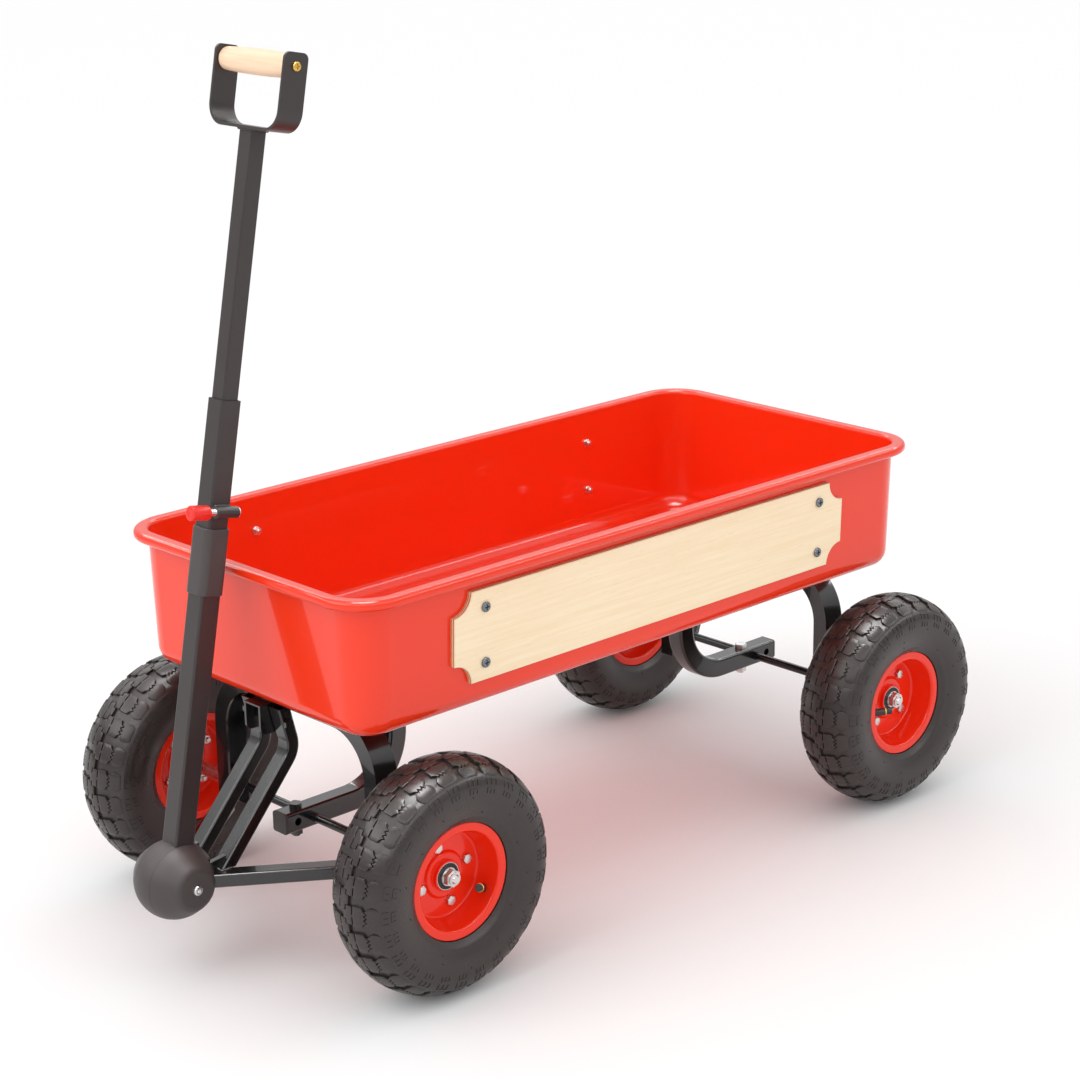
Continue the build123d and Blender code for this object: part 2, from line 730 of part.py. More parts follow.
def strut():
    """Left strut: bent tube that stands on the brace, with an eye plate for the ball."""
    top_z = crown_z - moving_gap
    path = FilletPolyline((strut_top_x, strut_y, top_z + 12.0), (knee_x, strut_y, knee_z),
                          (strut_foot_x, strut_y, ball_z), radius=strut_bend_r)
    ahead = path % 0.0
    section = square_tube(tongue_h, tongue_w, tongue_wall, 2.5)
    frame = Plane(origin=path @ 0.0, x_dir=ahead.cross(Vector(0, 1, 0)), z_dir=ahead)
    tube = sweep(frame * section, path=path)
    tube -= Pos(0, strut_y, top_z + 25.0) * Box(400, 60, 50)
    brace_top = ball_z + tongue_h / 2
    tube -= Pos(strut_foot_x, strut_y, brace_top - 25.0) * Box(200, 60, 50)
    tube = Pos(front_x, 0, 0) * tube - ball_room()
    root_z = brace_top + tongue_h / 2
    root_x = strut_foot_x + (root_z - ball_z) * (strut_foot_x - knee_x) / (ball_z - knee_z)
    eye = Pos(ball_x, ball_z) * Circle(strut_eye_r)
    root = Pos(root_x, root_z) * Circle(tongue_h / 2 - tongue_wall)
    plate = extrude(Plane.XZ * make_hull(eye.edges() + root.edges()), strut_eye_t)
    plate = Pos(front_x, strut_y + strut_eye_t / 2, 0) * plate
    plate -= brace_bar(RectangleRounded(tongue_w, tongue_h, 2.5))
    body = tube + plate
    body -= rod(pivot_d + 2 * bolt_slip, (pivot_x, 0, ball_z), (pivot_x, 2 * strut_y, ball_z))
    bolt_x = front_x + strut_bolt_x()
    hole_d = strut_bolt_d + 2 * bolt_slip
    return body - rod(hole_d, (bolt_x, 0, strut_bolt_z), (bolt_x, 2 * strut_y, strut_bolt_z))


def strut_bolts():
    """Bolt and nut through each strut and its ear."""
    bolt_x = front_x + strut_bolt_x()
    out = strut_y + tongue_w / 2
    inner = ear_y - ear_t
    flats = strut_bolt_d * 1.65
    shank = rod(strut_bolt_d, (bolt_x, inner - 5.5, strut_bolt_z), (bolt_x, out, strut_bolt_z))
    head = hex_prism(flats, (bolt_x, out, strut_bolt_z), (bolt_x, out + 4.0, strut_bolt_z))
    nut = hex_prism(flats, (bolt_x, inner - 5.0, strut_bolt_z), (bolt_x, inner, strut_bolt_z))
    bolt = shank + head + nut
    return bolt, mirrored(bolt)


def brace():
    """Left brace: flat tube from the strut's foot to the arch's leg."""
    tube = brace_bar(square_tube(tongue_w, tongue_h, tongue_wall, 2.5))
    leg_face = front_x + arch_width / 2
    tube -= Pos(leg_face - 60.0, brace_leg_y, ball_z) * Box(120, 200, 60)
    return tube - ball_room()


def ball_dome():
    """Left dome: closes over the strut's eye, with a slot for it at the rear."""
    start = half_core + moving_gap
    dome = ball_form(0) & Pos(0, start + ball_half / 2, 0) * Box(3 * ball_r, ball_half, 3 * ball_r)
    dome = fillet(dome.edges().sort_by(Axis.Y)[-1:], ball_edge_r)
    dome = Pos(pivot_x, 0, ball_z) * dome
    room = strut_eye_t / 2 + seat_gap
    pocket = Pos(pivot_x, 0, ball_z) * band(0.0, strut_eye_r + 1.0, strut_y - room, strut_y + room)
    slot_length = ball_r + 10.0
    slot = Box(slot_length, 2 * room, 2 * strut_eye_r + 8.0)
    dome -= pocket
    dome -= Pos(pivot_x - slot_length / 2, strut_y, ball_z + 4.0) * slot
    return dome - rod(pivot_d + 2 * bolt_slip, (pivot_x, 0, ball_z), (pivot_x, 2 * ball_r, ball_z))


def pivot_bolt():
    """Bolt along Y that the handle tilts on: round head on the left, nut on the right."""
    shank = rod(pivot_d, (pivot_x, -ball_half - 7.5, ball_z), (pivot_x, ball_half, ball_z))
    head = rod(pivot_head_d, (pivot_x, ball_half, ball_z), (pivot_x, ball_half + 3.5, ball_z))
    head = fillet(head.edges().sort_by(Axis.Y)[-1:], 2.0)
    socket = hex_prism(pivot_d / 2, (pivot_x, ball_half + 1.0, ball_z), (pivot_x, ball_half + 5.0, ball_z))
    nut = hex_prism(pivot_d * 1.5, (pivot_x, -ball_half - 6.5, ball_z), (pivot_x, -ball_half, ball_z))
    return shank + (head - socket) + nut


# Handle, built upright on the origin and then leaned back over the ball
on_ball = Pos(pivot_x, 0, ball_z) * Rot(0, -handle_lean, 0)
tube_seat = ball_r - 5.0


def ball_core_piece():
    """Middle slice of the ball, notched at the top for the handle tube."""
    core = Sphere(ball_r) & Box(3 * ball_r, ball_core, 3 * ball_r)
    core -= Pos(0, 0, tube_seat + ball_r / 2) * Box(lower_tube, 2 * ball_core, ball_r)
    core -= rod(pivot_d + 2 * running_fit, (0, -ball_core, 0), (0, ball_core, 0))
    return core


def upright_tube(size, wall, start, end, corner):
    """Square tube along the handle."""
    return extrude(Pos(0, 0, start) * square_tube(size, size, wall, corner), end - start)


def sleeve():
    """Moulded bumper that keeps the handle off the tray's rim."""
    bore = lower_tube + 2 * seat_gap
    length = sleeve_to - sleeve_from
    outline = RectangleRounded(sleeve_size, sleeve_size, sleeve_corner_r)
    block = extrude(Pos(0, 0, sleeve_from) * outline, length)
    ends = block.faces().sort_by(Axis.Z)
    block = fillet(ends[0].edges() + ends[-1].edges(), 1.2)
    return block - Pos(0, 0, sleeve_from + length / 2) * Box(bore, bore, length + 2)


latch_at = lower_top - latch_drop
latch_y = lower_tube / 2 + latch_barrel_d / 2
cap_start = latch_barrel_front + latch_travel + 1.0


def latch_rod(diameter, start, end):
    """Round bar along the latch, between two distances ahead of the handle's axis."""
    return rod(diameter, (start, latch_y, latch_at), (end, latch_y, latch_at))


def latch_barrel():
    """Tube welded across the handle's left face, with its weld bead."""
    reach = lower_tube / 2 - 2.5
    barrel = latch_rod(latch_barrel_d, latch_barrel_rear, latch_barrel_front)
    bead = Pos(0, lower_tube / 2 + 2.0, latch_at + latch_barrel_d / 2 - 2.0) * Box(2 * reach, 4.0, 3.0)
    bore = latch_pin_d + 2 * running_fit
    return barrel + bead - latch_rod(bore, latch_barrel_rear - 1.0, latch_barrel_front + 1.0)


def latch_pin():
    """Push pin with a head behind its barrel."""
    head_end = latch_barrel_rear - moving_gap
    head = latch_rod(latch_pin_head_d, head_end - 2.0, head_end)
    head = chamfer(head.edges().sort_by(Axis.X)[:1], 0.8)
    return head + latch_rod(latch_pin_d, head_end, cap_start + latch_cap_depth)


def latch_cap():
    """Vinyl cap over the front end of the push pin."""
    cap = latch_rod(latch_cap_d, cap_start, cap_start + latch_cap_length)
    cap = fillet(cap.edges().sort_by(Axis.X)[-1:], 2.0)
    cap = fillet(cap.edges().sort_by(Axis.X)[:1], 1.0)
    return cap - latch_rod(latch_pin_d, cap_start - 1.0, cap_start + latch_cap_depth)


def strap():
    """Flat bar bent to a U, its arm ends rounded off and drilled."""
    half = strap_span / 2 - strap_t / 2
    low = strap_bottom + strap_t / 2
    line = [(-half, strap_top), (-half, low), (half, low), (half, strap_top)]
    bar = make_face(FilletPolyline(*line, radius=strap_bend_r).offset_2d(strap_t / 2))
    body = extrude(Plane.YZ * bar, strap_width / 2, both=True)
    height = strap_top - strap_bottom
    face = Pos(0, strap_bottom + height / 2) * Rectangle(strap_width, height)
    face = fillet(face.vertices().group_by(Axis.Y)[-1], strap_end_r)
    body &= extrude(Plane.XZ * face, strap_span, both=True)
    grip_z = strap_top - grip_inset
    return body - rod(grip_screw_d + 2 * bolt_slip, (0, -strap_span, grip_z), (0, strap_span, grip_z))


def grip():
    """Turned wooden grip, a little fuller in the middle."""
    half = strap_span / 2 - strap_t - seat_gap
    end_r = grip_d / 2 - 1.5
    outline = make_face([
        Line((-half, 0), (half, 0)),
        Line((half, 0), (half, end_r - 1.0)),
        Line((half, end_r - 1.0), (half - 1.0, end_r)),
        ThreePointArc((half - 1.0, end_r), (0, grip_d / 2), (-half + 1.0, end_r)),
        Line((-half + 1.0, end_r), (-half, end_r - 1.0)),
        Line((-half, end_r - 1.0), (-half, 0)),
    ])
    body = turned(outline)
    depth = 22.0
    for side in (1, -1):
        body -= rod(grip_screw_d, (0, side * half, 0), (0, side * (half - depth), 0))
    return Pos(0, 0, strap_top - grip_inset) * body


def grip_screws():
    """Wood screw with a domed head in each arm."""
    out = strap_span / 2
    inner = out - strap_t - 20.0
    shank = rod(grip_screw_d, (0, inner, 0), (0, out, 0))
    head = rod(2 * grip_screw_d, (0, out, 0), (0, out + 2.6, 0))
    head = fillet(head.edges().sort_by(Axis.Y)[-1:], 1.6)
    screw = Pos(0, 0, strap_top - grip_inset) * (shank + head)
    return screw, mirrored(screw)


# Everything, one file per piece
os.makedirs("parts", exist_ok=True)

for corner, place in wheel_places.items():
    for piece, solids in wheel_pieces.items():
        save(f"{piece}_{corner}", *[place * solid for solid in solids])

save("tray", tray())
save("plaque_left", plaque())
save("plaque_right", mirrored(plaque()))
save("plaque_screws", *plaque_screws())
save("top_plate", top_plate())
save("thrust_washer", thrust_washer())
save("kingpin", kingpin())
save("rear_plate", rear_plate())
save("floor_bolts", *top_plate_bolts(), *rear_bolts(), hook_bolt(rear_x))

floor_hole_d = floor_bolt_d + 2 * bolt_slip
save("rear_arch", drilled(arch(rear_x), rear_x, (rear_bolt_y, -rear_bolt_y), floor_hole_d))
save("front_arch", drilled(arch(front_x), front_x, (0,), kingpin_d + 2 * running_fit))
for end, x, ahead in (("front", front_x, 1), ("rear", rear_x, -1)):
    save(f"{end}_hook", hook(x, ahead))
    save(f"{end}_hook_cap", hook_cap(x, ahead))
    save(f"{end}_axle", axle(x))
    save(f"{end}_axle_fittings", *axle_spacers(x), *axle_nuts(x))

save("turntable_plate", turntable_plate())
save("strut_left", strut())
save("strut_right", mirrored(strut()))
save("steering_bolts", *strut_bolts(), hook_bolt(front_x))
save("brace_left", brace())
save("brace_right", mirrored(brace()))
save("ball_dome_left", ball_dome())
save("ball_dome_right", mirrored(ball_dome()))
save("pivot_bolt", pivot_bolt())

tube_inside = lower_top - upper_overlap
save("ball_core", on_ball * ball_core_piece())
save("handle_tube_lower", on_ball * upright_tube(lower_tube, lower_wall, tube_seat, lower_top, 2.5))
save("handle_bumper", on_ball * sleeve())
save("latch_barrel", on_ball * latch_barrel())
save("latch_pin", on_ball * latch_pin())
save("latch_cap", on_ball * latch_cap())
save("handle_tube_upper", on_ball * upright_tube(upper_tube, upper_wall, tube_inside, strap_bottom, 2.0))
save("grip_strap", on_ball * strap())
save("grip", on_ball * grip())
save("grip_screws", *[on_ball * screw for screw in grip_screws()])
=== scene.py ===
import bpy
from math import asin, copysign, cos, pi, radians, sin
from mathutils import Matrix, Vector


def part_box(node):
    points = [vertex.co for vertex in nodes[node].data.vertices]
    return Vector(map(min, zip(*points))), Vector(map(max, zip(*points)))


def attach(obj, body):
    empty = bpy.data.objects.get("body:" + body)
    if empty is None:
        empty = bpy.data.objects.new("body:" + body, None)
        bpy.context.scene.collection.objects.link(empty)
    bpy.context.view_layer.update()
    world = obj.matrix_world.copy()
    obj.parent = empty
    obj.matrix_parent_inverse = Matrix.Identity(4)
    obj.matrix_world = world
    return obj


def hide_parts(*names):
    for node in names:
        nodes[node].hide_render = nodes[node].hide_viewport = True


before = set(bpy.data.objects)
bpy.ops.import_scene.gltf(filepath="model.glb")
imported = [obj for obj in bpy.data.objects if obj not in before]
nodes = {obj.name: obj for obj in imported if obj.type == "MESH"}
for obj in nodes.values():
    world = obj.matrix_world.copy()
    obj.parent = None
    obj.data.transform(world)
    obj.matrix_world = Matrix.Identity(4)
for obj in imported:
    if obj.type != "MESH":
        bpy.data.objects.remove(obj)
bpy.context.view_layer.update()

# Tray
# One deep-drawn steel pan with a rolled rim, sprayed with gloss red enamel
# that lies a little uneven, like the skin of an orange.
mm = 0.001


def from_screen(red, green, blue):
    """A colour picked on a screen, as the linear values that shaders take."""
    return tuple(((c / 255 + 0.055) / 1.055) ** 2.4 for c in (red, green, blue))


def new_group(name, inputs, outputs):
    """Empty shader group with its sockets; inputs give (name, kind, value)."""
    group = bpy.data.node_groups.new(name, "ShaderNodeTree")
    for socket, kind, value in inputs:
        made = group.interface.new_socket(socket, in_out="INPUT", socket_type=f"NodeSocket{kind}")
        made.default_value = value
    for socket, kind in outputs:
        group.interface.new_socket(socket, in_out="OUTPUT", socket_type=f"NodeSocket{kind}")
    return group, group.nodes.new("NodeGroupInput"), group.nodes.new("NodeGroupOutput")


def sprayed_skin():
    """Group for any sprayed or moulded skin: a fine ripple and uneven gloss."""
    group, given, put = new_group(
        "sprayed_skin",
        [("Ripple Scale", "Float", 300.0), ("Ripple Depth", "Float", 0.1),
         ("Gloss Scale", "Float", 8.0), ("Smoothest", "Float", 0.15), ("Roughest", "Float", 0.25)],
        [("Roughness", "Float"), ("Normal", "Vector")])
    place = group.nodes.new("ShaderNodeTexCoord")
    ripple = group.nodes.new("ShaderNodeTexNoise")
    ripple.inputs["Detail"].default_value = 3.0
    bump = group.nodes.new("ShaderNodeBump")
    bump.inputs["Distance"].default_value = 0.4 * mm
    cloud = group.nodes.new("ShaderNodeTexNoise")
    cloud.inputs["Detail"].default_value = 4.0
    spread = group.nodes.new("ShaderNodeMapRange")
    spread.inputs["From Min"].default_value = 0.35
    spread.inputs["From Max"].default_value = 0.65
    link = group.links.new
    link(place.outputs["Object"], ripple.inputs["Vector"])
    link(place.outputs["Object"], cloud.inputs["Vector"])
    link(given.outputs["Ripple Scale"], ripple.inputs["Scale"])
    link(given.outputs["Ripple Depth"], bump.inputs["Strength"])
    link(ripple.outputs["Fac"], bump.inputs["Height"])
    link(given.outputs["Gloss Scale"], cloud.inputs["Scale"])
    link(cloud.outputs["Fac"], spread.inputs["Value"])
    link(given.outputs["Smoothest"], spread.inputs["To Min"])
    link(given.outputs["Roughest"], spread.inputs["To Max"])
    link(spread.outputs["Result"], put.inputs["Roughness"])
    link(bump.outputs["Normal"], put.inputs["Normal"])
    return group


skin_group = sprayed_skin()


def skinned(name, colour, skin, sockets):
    """Finish with the sprayed skin; skin gives the group's five values in order."""
    finish = bpy.data.materials.new(name)
    finish.use_nodes = True
    tree = finish.node_tree
    shader = tree.nodes["Principled BSDF"]
    shader.inputs["Base Color"].default_value = (*colour, 1.0)
    for socket, value in sockets.items():
        shader.inputs[socket].default_value = value
    surface = tree.nodes.new("ShaderNodeGroup")
    surface.node_tree = skin_group
    for socket, value in zip(surface.inputs, skin):
        socket.default_value = value
    tree.links.new(surface.outputs["Roughness"], shader.inputs["Roughness"])
    tree.links.new(surface.outputs["Normal"], shader.inputs["Normal"])
    return finish


def dress(finish, *names):
    """Give CAD nodes a finish."""
    for name in names:
        for place in nodes[name].material_slots:
            place.material = finish


# A skin is its ripple's scale and depth, its gloss's scale, and the smoothest and roughest it gets.
enamel_skin = (140.0, 0.04, 5.0, 0.16, 0.26)
enamel_coat = {"Coat Weight": 0.6, "Coat Roughness": 0.03, "Specular IOR Level": 0.2}
red_enamel = skinned("red_enamel", from_screen(238, 52, 18), enamel_skin, enamel_coat)
dress(red_enamel, "tray")


# Side boards
# Pale birch plywood with a bite out of each corner. The face grain runs
# lengthways with short brown flecks, and the sawn edge shows the plies.
def wood_figure():
    """Group for plain pale wood: soft bands, fine pores and brown flecks along the grain."""
    group, given, put = new_group(
        "wood_figure",
        [("Pale", "Color", (0.9, 0.75, 0.55, 1.0)), ("Dark", "Color", (0.7, 0.5, 0.3, 1.0)),
         ("Fleck", "Color", (0.4, 0.25, 0.12, 1.0)), ("Along", "Vector", (1.0, 1.0, 1.0))],
        [("Color", "Color"), ("Height", "Float")])
    place = group.nodes.new("ShaderNodeTexCoord")
    stretch = group.nodes.new("ShaderNodeVectorMath")
    stretch.operation = "MULTIPLY"
    band = group.nodes.new("ShaderNodeTexNoise")
    band.inputs["Scale"].default_value = 1.0
    band.inputs["Detail"].default_value = 3.0
    band.inputs["Distortion"].default_value = 0.6
    pore = group.nodes.new("ShaderNodeTexNoise")
    pore.inputs["Scale"].default_value = 5.0
    pore.inputs["Detail"].default_value = 2.0
    tone = group.nodes.new("ShaderNodeMapRange")
    tone.inputs["From Min"].default_value = 0.3
    tone.inputs["From Max"].default_value = 0.75
    sharp = group.nodes.new("ShaderNodeMapRange")
    sharp.inputs["From Min"].default_value = 0.66
    sharp.inputs["From Max"].default_value = 0.82
    body = group.nodes.new("ShaderNodeMix")
    body.data_type = "RGBA"
    spots = group.nodes.new("ShaderNodeMix")
    spots.data_type = "RGBA"
    link = group.links.new
    link(place.outputs["Object"], stretch.inputs[0])
    link(given.outputs["Along"], stretch.inputs[1])
    link(stretch.outputs["Vector"], band.inputs["Vector"])
    link(stretch.outputs["Vector"], pore.inputs["Vector"])
    link(band.outputs["Fac"], tone.inputs["Value"])
    link(pore.outputs["Fac"], sharp.inputs["Value"])
    link(tone.outputs["Result"], body.inputs["Factor"])
    link(given.outputs["Pale"], body.inputs["A"])
    link(given.outputs["Dark"], body.inputs["B"])
    link(sharp.outputs["Result"], spots.inputs["Factor"])
    link(body.outputs["Result"], spots.inputs["A"])
    link(given.outputs["Fleck"], spots.inputs["B"])
    link(spots.outputs["Result"], put.inputs["Color"])
    link(pore.outputs["Fac"], put.inputs["Height"])
    return group


figure_group = wood_figure()


def wooden(name, pale, dark, fleck, along, roughness):
    """Finish of sanded wood; along stretches the figure in X, Y and Z. Gives its shader too."""
    finish = bpy.data.materials.new(name)
    finish.use_nodes = True
    tree = finish.node_tree
    shader = tree.nodes["Principled BSDF"]
    shader.inputs["Roughness"].default_value = roughness
    figure = tree.nodes.new("ShaderNodeGroup")
    figure.node_tree = figure_group
    for socket, value in zip(figure.inputs, ((*pale, 1.0), (*dark, 1.0), (*fleck, 1.0), along)):
        socket.default_value = value
    bump = tree.nodes.new("ShaderNodeBump")
    bump.inputs["Strength"].default_value = 0.15
    bump.inputs["Distance"].default_value = 0.3 * mm
    tree.links.new(figure.outputs["Color"], shader.inputs["Base Color"])
    tree.links.new(figure.outputs["Height"], bump.inputs["Height"])
    tree.links.new(bump.outputs["Normal"], shader.inputs["Normal"])
    return finish, figure, shader


birch_grain = (9.0, 60.0, 240.0)
birch, birch_figure, birch_shader = wooden(
    "birch_ply", from_screen(250, 230, 198), from_screen(245, 219, 180), from_screen(228, 188, 138),
    birch_grain, roughness=0.5)
# The tray's wall, and the board on it, lean out by this much for each unit of height.
wall_lean = 0.0318


def show_plies():
    """Darker lines on the board's sawn edges, one for every other ply."""
    ply_t = 1.5 * mm
    tree = birch.node_tree
    place = tree.nodes.new("ShaderNodeTexCoord")
    across = tree.nodes.new("ShaderNodeVectorMath")
    across.operation = "ABSOLUTE"
    depth = tree.nodes.new("ShaderNodeVectorMath")
    depth.operation = "DOT_PRODUCT"
    depth.inputs[1].default_value = (0.0, 1.0, -wall_lean)
    lines = tree.nodes.new("ShaderNodeMath")
    lines.operation = "PINGPONG"
    lines.inputs[1].default_value = ply_t
    dark = tree.nodes.new("ShaderNodeMath")
    dark.operation = "GREATER_THAN"
    dark.inputs[1].default_value = ply_t / 2
    face = tree.nodes.new("ShaderNodeSeparateXYZ")
    flat = tree.nodes.new("ShaderNodeMath")
    flat.operation = "ABSOLUTE"
    edge = tree.nodes.new("ShaderNodeMath")
    edge.operation = "LESS_THAN"
    edge.inputs[1].default_value = 0.5
    both = tree.nodes.new("ShaderNodeMath")
    both.operation = "MULTIPLY"
    mix = tree.nodes.new("ShaderNodeMix")
    mix.data_type = "RGBA"
    mix.inputs["B"].default_value = (*from_screen(190, 146, 98), 1.0)
    link = tree.links.new
    link(place.outputs["Object"], across.inputs[0])
    link(across.outputs["Vector"], depth.inputs[0])
    link(depth.outputs["Value"], lines.inputs[0])
    link(lines.outputs["Value"], dark.inputs[0])
    link(place.outputs["Normal"], face.inputs["Vector"])
    link(face.outputs["Y"], flat.inputs[0])
    link(flat.outputs["Value"], edge.inputs[0])
    link(edge.outputs["Value"], both.inputs[0])
    link(dark.outputs["Value"], both.inputs[1])
    link(both.outputs["Value"], mix.inputs["Factor"])
    link(birch_figure.outputs["Color"], mix.inputs["A"])
    link(mix.outputs["Result"], birch_shader.inputs["Base Color"])


show_plies()
dress(birch, "plaque_left", "plaque_right")


# Board screws
# Zinc-plated pan heads with a cross recess, each with a washer and a
# hexagon nut on the inside of the tray wall.
def bar(name, sides, radius, low, high, eased):
    """Round or six-sided bar up the Z axis with eased rims."""
    bpy.ops.object.select_all(action="DESELECT")
    bpy.ops.mesh.primitive_cylinder_add(vertices=sides, radius=radius, depth=high - low,
                                        location=(0.0, 0.0, (low + high) / 2))
    made = bpy.context.object
    made.name = name
    bpy.ops.object.transform_apply(location=True)
    ease = made.modifiers.new("eased", "BEVEL")
    ease.width = eased
    ease.segments = 3
    ease.limit_method = "ANGLE"
    ease.angle_limit = radians(50.0)
    bpy.ops.object.modifier_apply(modifier="eased")
    return made


def join(name, *pieces):
    """One object out of several."""
    bpy.ops.object.select_all(action="DESELECT")
    for piece in pieces:
        piece.select_set(True)
    bpy.context.view_layer.objects.active = pieces[0]
    bpy.ops.object.join()
    pieces[0].name = name
    return pieces[0]


def cross_head(name, radius, height):
    """Domed screw head on the XY plane, with a cross recess pressed into it."""
    dome = 0.45 * height
    arm_length, arm_width, arm_depth = 1.15 * radius, 0.26 * radius, 1.2 * height
    head = bar(name, 40, radius, 0.0, height, dome)
    arms = []
    for turn in (0.0, pi / 2):
        bpy.ops.object.select_all(action="DESELECT")
        bpy.ops.mesh.primitive_cube_add(size=1.0)
        arm = bpy.context.object
        arm.data.transform(Matrix.Diagonal((arm_length, arm_width, arm_depth, 1.0)))
        arm.data.transform(Matrix.Translation((0.0, 0.0, height)) @ Matrix.Rotation(turn, 4, "Z"))
        arms.append(arm)
    for arm in arms:
        press = head.modifiers.new("recess", "BOOLEAN")
        press.operation = "DIFFERENCE"
        press.object = arm
        bpy.ops.object.select_all(action="DESELECT")
        bpy.context.view_layer.objects.active = head
        bpy.ops.object.modifier_apply(modifier="recess")
        bpy.data.objects.remove(arm)
    return head


def smooth(piece, angle):
    """Shade a piece smooth, with sharp edges above an angle in degrees."""
    bpy.ops.object.select_all(action="DESELECT")
    piece.select_set(True)
    bpy.context.view_layer.objects.active = piece
    bpy.ops.object.shade_smooth_by_angle(angle=radians(angle))


def copied(pattern, name, move):
    """Copy of a modelled piece with its own mesh, moved there in the mesh."""
    piece = pattern.copy()
    piece.data = pattern.data.copy()
    piece.name = name
    bpy.context.collection.objects.link(piece)
    piece.data.transform(move)
    return piece


def put_on(piece, finish, slot, body, *stands_for):
    """Finish a new piece, unless it has its own, and let it ride on a body in place of CAD nodes."""
    if finish:
        piece.data.materials.clear()
        piece.data.materials.append(finish)
    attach(piece, body)
    if stands_for:
        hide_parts(*stands_for)


def plated(name, colour, smoothest, roughest):
    """Bright metal with a fine ripple."""
    return skinned(name, colour, (700.0, 0.1, 60.0, smoothest, roughest), {"Metallic": 1.0})


def facing(out):
    """Turn that points a piece's Z axis outwards."""
    return out.to_track_quat("Z", "Y").to_matrix().to_4x4()


zinc_colour = from_screen(214, 214, 212)
zinc = plated("zinc", zinc_colour, 0.2, 0.38)
blued_steel = plated("blued_steel", from_screen(122, 126, 132), 0.2, 0.36)


def board_screw_places():
    """Where each screw leaves its board, with Z pointing out."""
    board_t, half_x, half_z = 6.0 * mm, 266.0 * mm, 31.0 * mm
    low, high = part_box("plaque_left")
    out = Vector((0.0, 1.0, -wall_lean)).normalized()
    up = Vector((0.0, wall_lean, 1.0)).normalized()
    # The board's outside face lies half its thickness out from its middle.
    face = (low + high) / 2 + out * board_t / 2
    for side in (1, -1):
        for x in (half_x, -half_x):
            for z in (half_z, -half_z):
                spot = face + Vector((x, 0.0, 0.0)) + up * z
                normal = out.copy()
                spot.y *= side
                normal.y *= side
                yield Matrix.Translation(spot) @ facing(normal)


head_r, head_h = 5.75 * mm, 2.8 * mm
inside = -7.3 * mm
washer_r, washer_t = 5.0 * mm, 1.0 * mm
nut_r, nut_h = 4.6 * mm, 4.0 * mm
shank_r, tip_in, tip_out = 2.4 * mm, 1.0 * mm, 1.8 * mm
washer_back = inside - washer_t
nut_back = washer_back - nut_h
hard_edge = 35.0
screw_head = cross_head("head", head_r, head_h)
screw_head.data.materials.append(blued_steel)
fastening = join(
    "fastening", bar("washer", 32, washer_r, washer_back, inside, eased=0.2 * mm),
    bar("nut", 6, nut_r, nut_back, washer_back, eased=0.3 * mm),
    bar("tip", 16, shank_r, nut_back - tip_out, nut_back + tip_in, eased=0.4 * mm))
fastening.data.materials.append(zinc)
board_screw = join("board_screw", screw_head, fastening)
smooth(board_screw, hard_edge)
screws = [copied(board_screw, "board_screw", place) for place in board_screw_places()]
put_on(join("board_screws", *screws), None, "zinc", "wagon", "plaque_screws")
bpy.data.objects.remove(board_screw)

# Tyres
# Black rubber moulded on a ply carcass. The two halves of the tread are
# staggered by half a pitch, and each block has a slot and a zig-zag sipe.
corners = ("front_left", "front_right", "rear_left", "rear_right")
rubber = skinned("tyre_rubber", from_screen(48, 41, 39), (420.0, 0.12, 14.0, 0.27, 0.42), {})
# A tyre's sizes are in millimetres, and a run is measured round its section from the crown.
pitches = 26
tread_r = 130.0
crown_bend, crown_half = 60.0, 29.0
crown_run = crown_bend * asin(crown_half / crown_bend)
shoulder_bend, side_bend = 25.2, 64.7
side_run = 95.2
groove_depth = 3.0
tread_edge, sidewall_start = 30.0, 41.0
bead_line, bead_line_rise = 86.0, 0.5


def on_tyre(run, lift):
    """Distance across and radius of a point at a run round the section from the crown."""
    left, heading = abs(run), 0.0
    across, radius = 0.0, tread_r
    shoulder_run = (pi / 2 - crown_run / crown_bend) * shoulder_bend
    for length, bend in ((crown_run, crown_bend), (shoulder_run, shoulder_bend), (side_run, side_bend)):
        turn = min(left, length) / bend
        across += bend * (sin(heading + turn) - sin(heading))
        radius -= bend * (cos(heading) - cos(heading + turn))
        heading += turn
        left -= min(left, length)
    return copysign(across + lift * sin(heading), run), radius + lift * cos(heading)


def groove_floor(run):
    """How far the smooth carcass lies below the block tops."""
    fade = (run - tread_edge) / (sidewall_start - tread_edge)
    return groove_depth * (1.0 - min(max(fade, 0.0), 1.0))


def draw_outline(name, points, fill):
    """Outline drawn by pulling one point along from corner to corner."""
    bpy.ops.object.select_all(action="DESELECT")
    bpy.ops.mesh.primitive_plane_add(size=1.0)
    made = bpy.context.object
    made.name = name
    bpy.ops.object.mode_set(mode="EDIT")
    bpy.ops.mesh.select_all(action="SELECT")
    bpy.ops.mesh.merge(type="CENTER")
    bpy.ops.transform.translate(value=points[0])
    for start, end in zip(points, points[1:]):
        step = tuple(b - a for a, b in zip(start, end))
        bpy.ops.mesh.extrude_vertices_move(TRANSFORM_OT_translate={"value": step})
    bpy.ops.mesh.select_all(action="SELECT")
    if fill:
        bpy.ops.mesh.edge_face_add()
    bpy.ops.object.mode_set(mode="OBJECT")
    return made


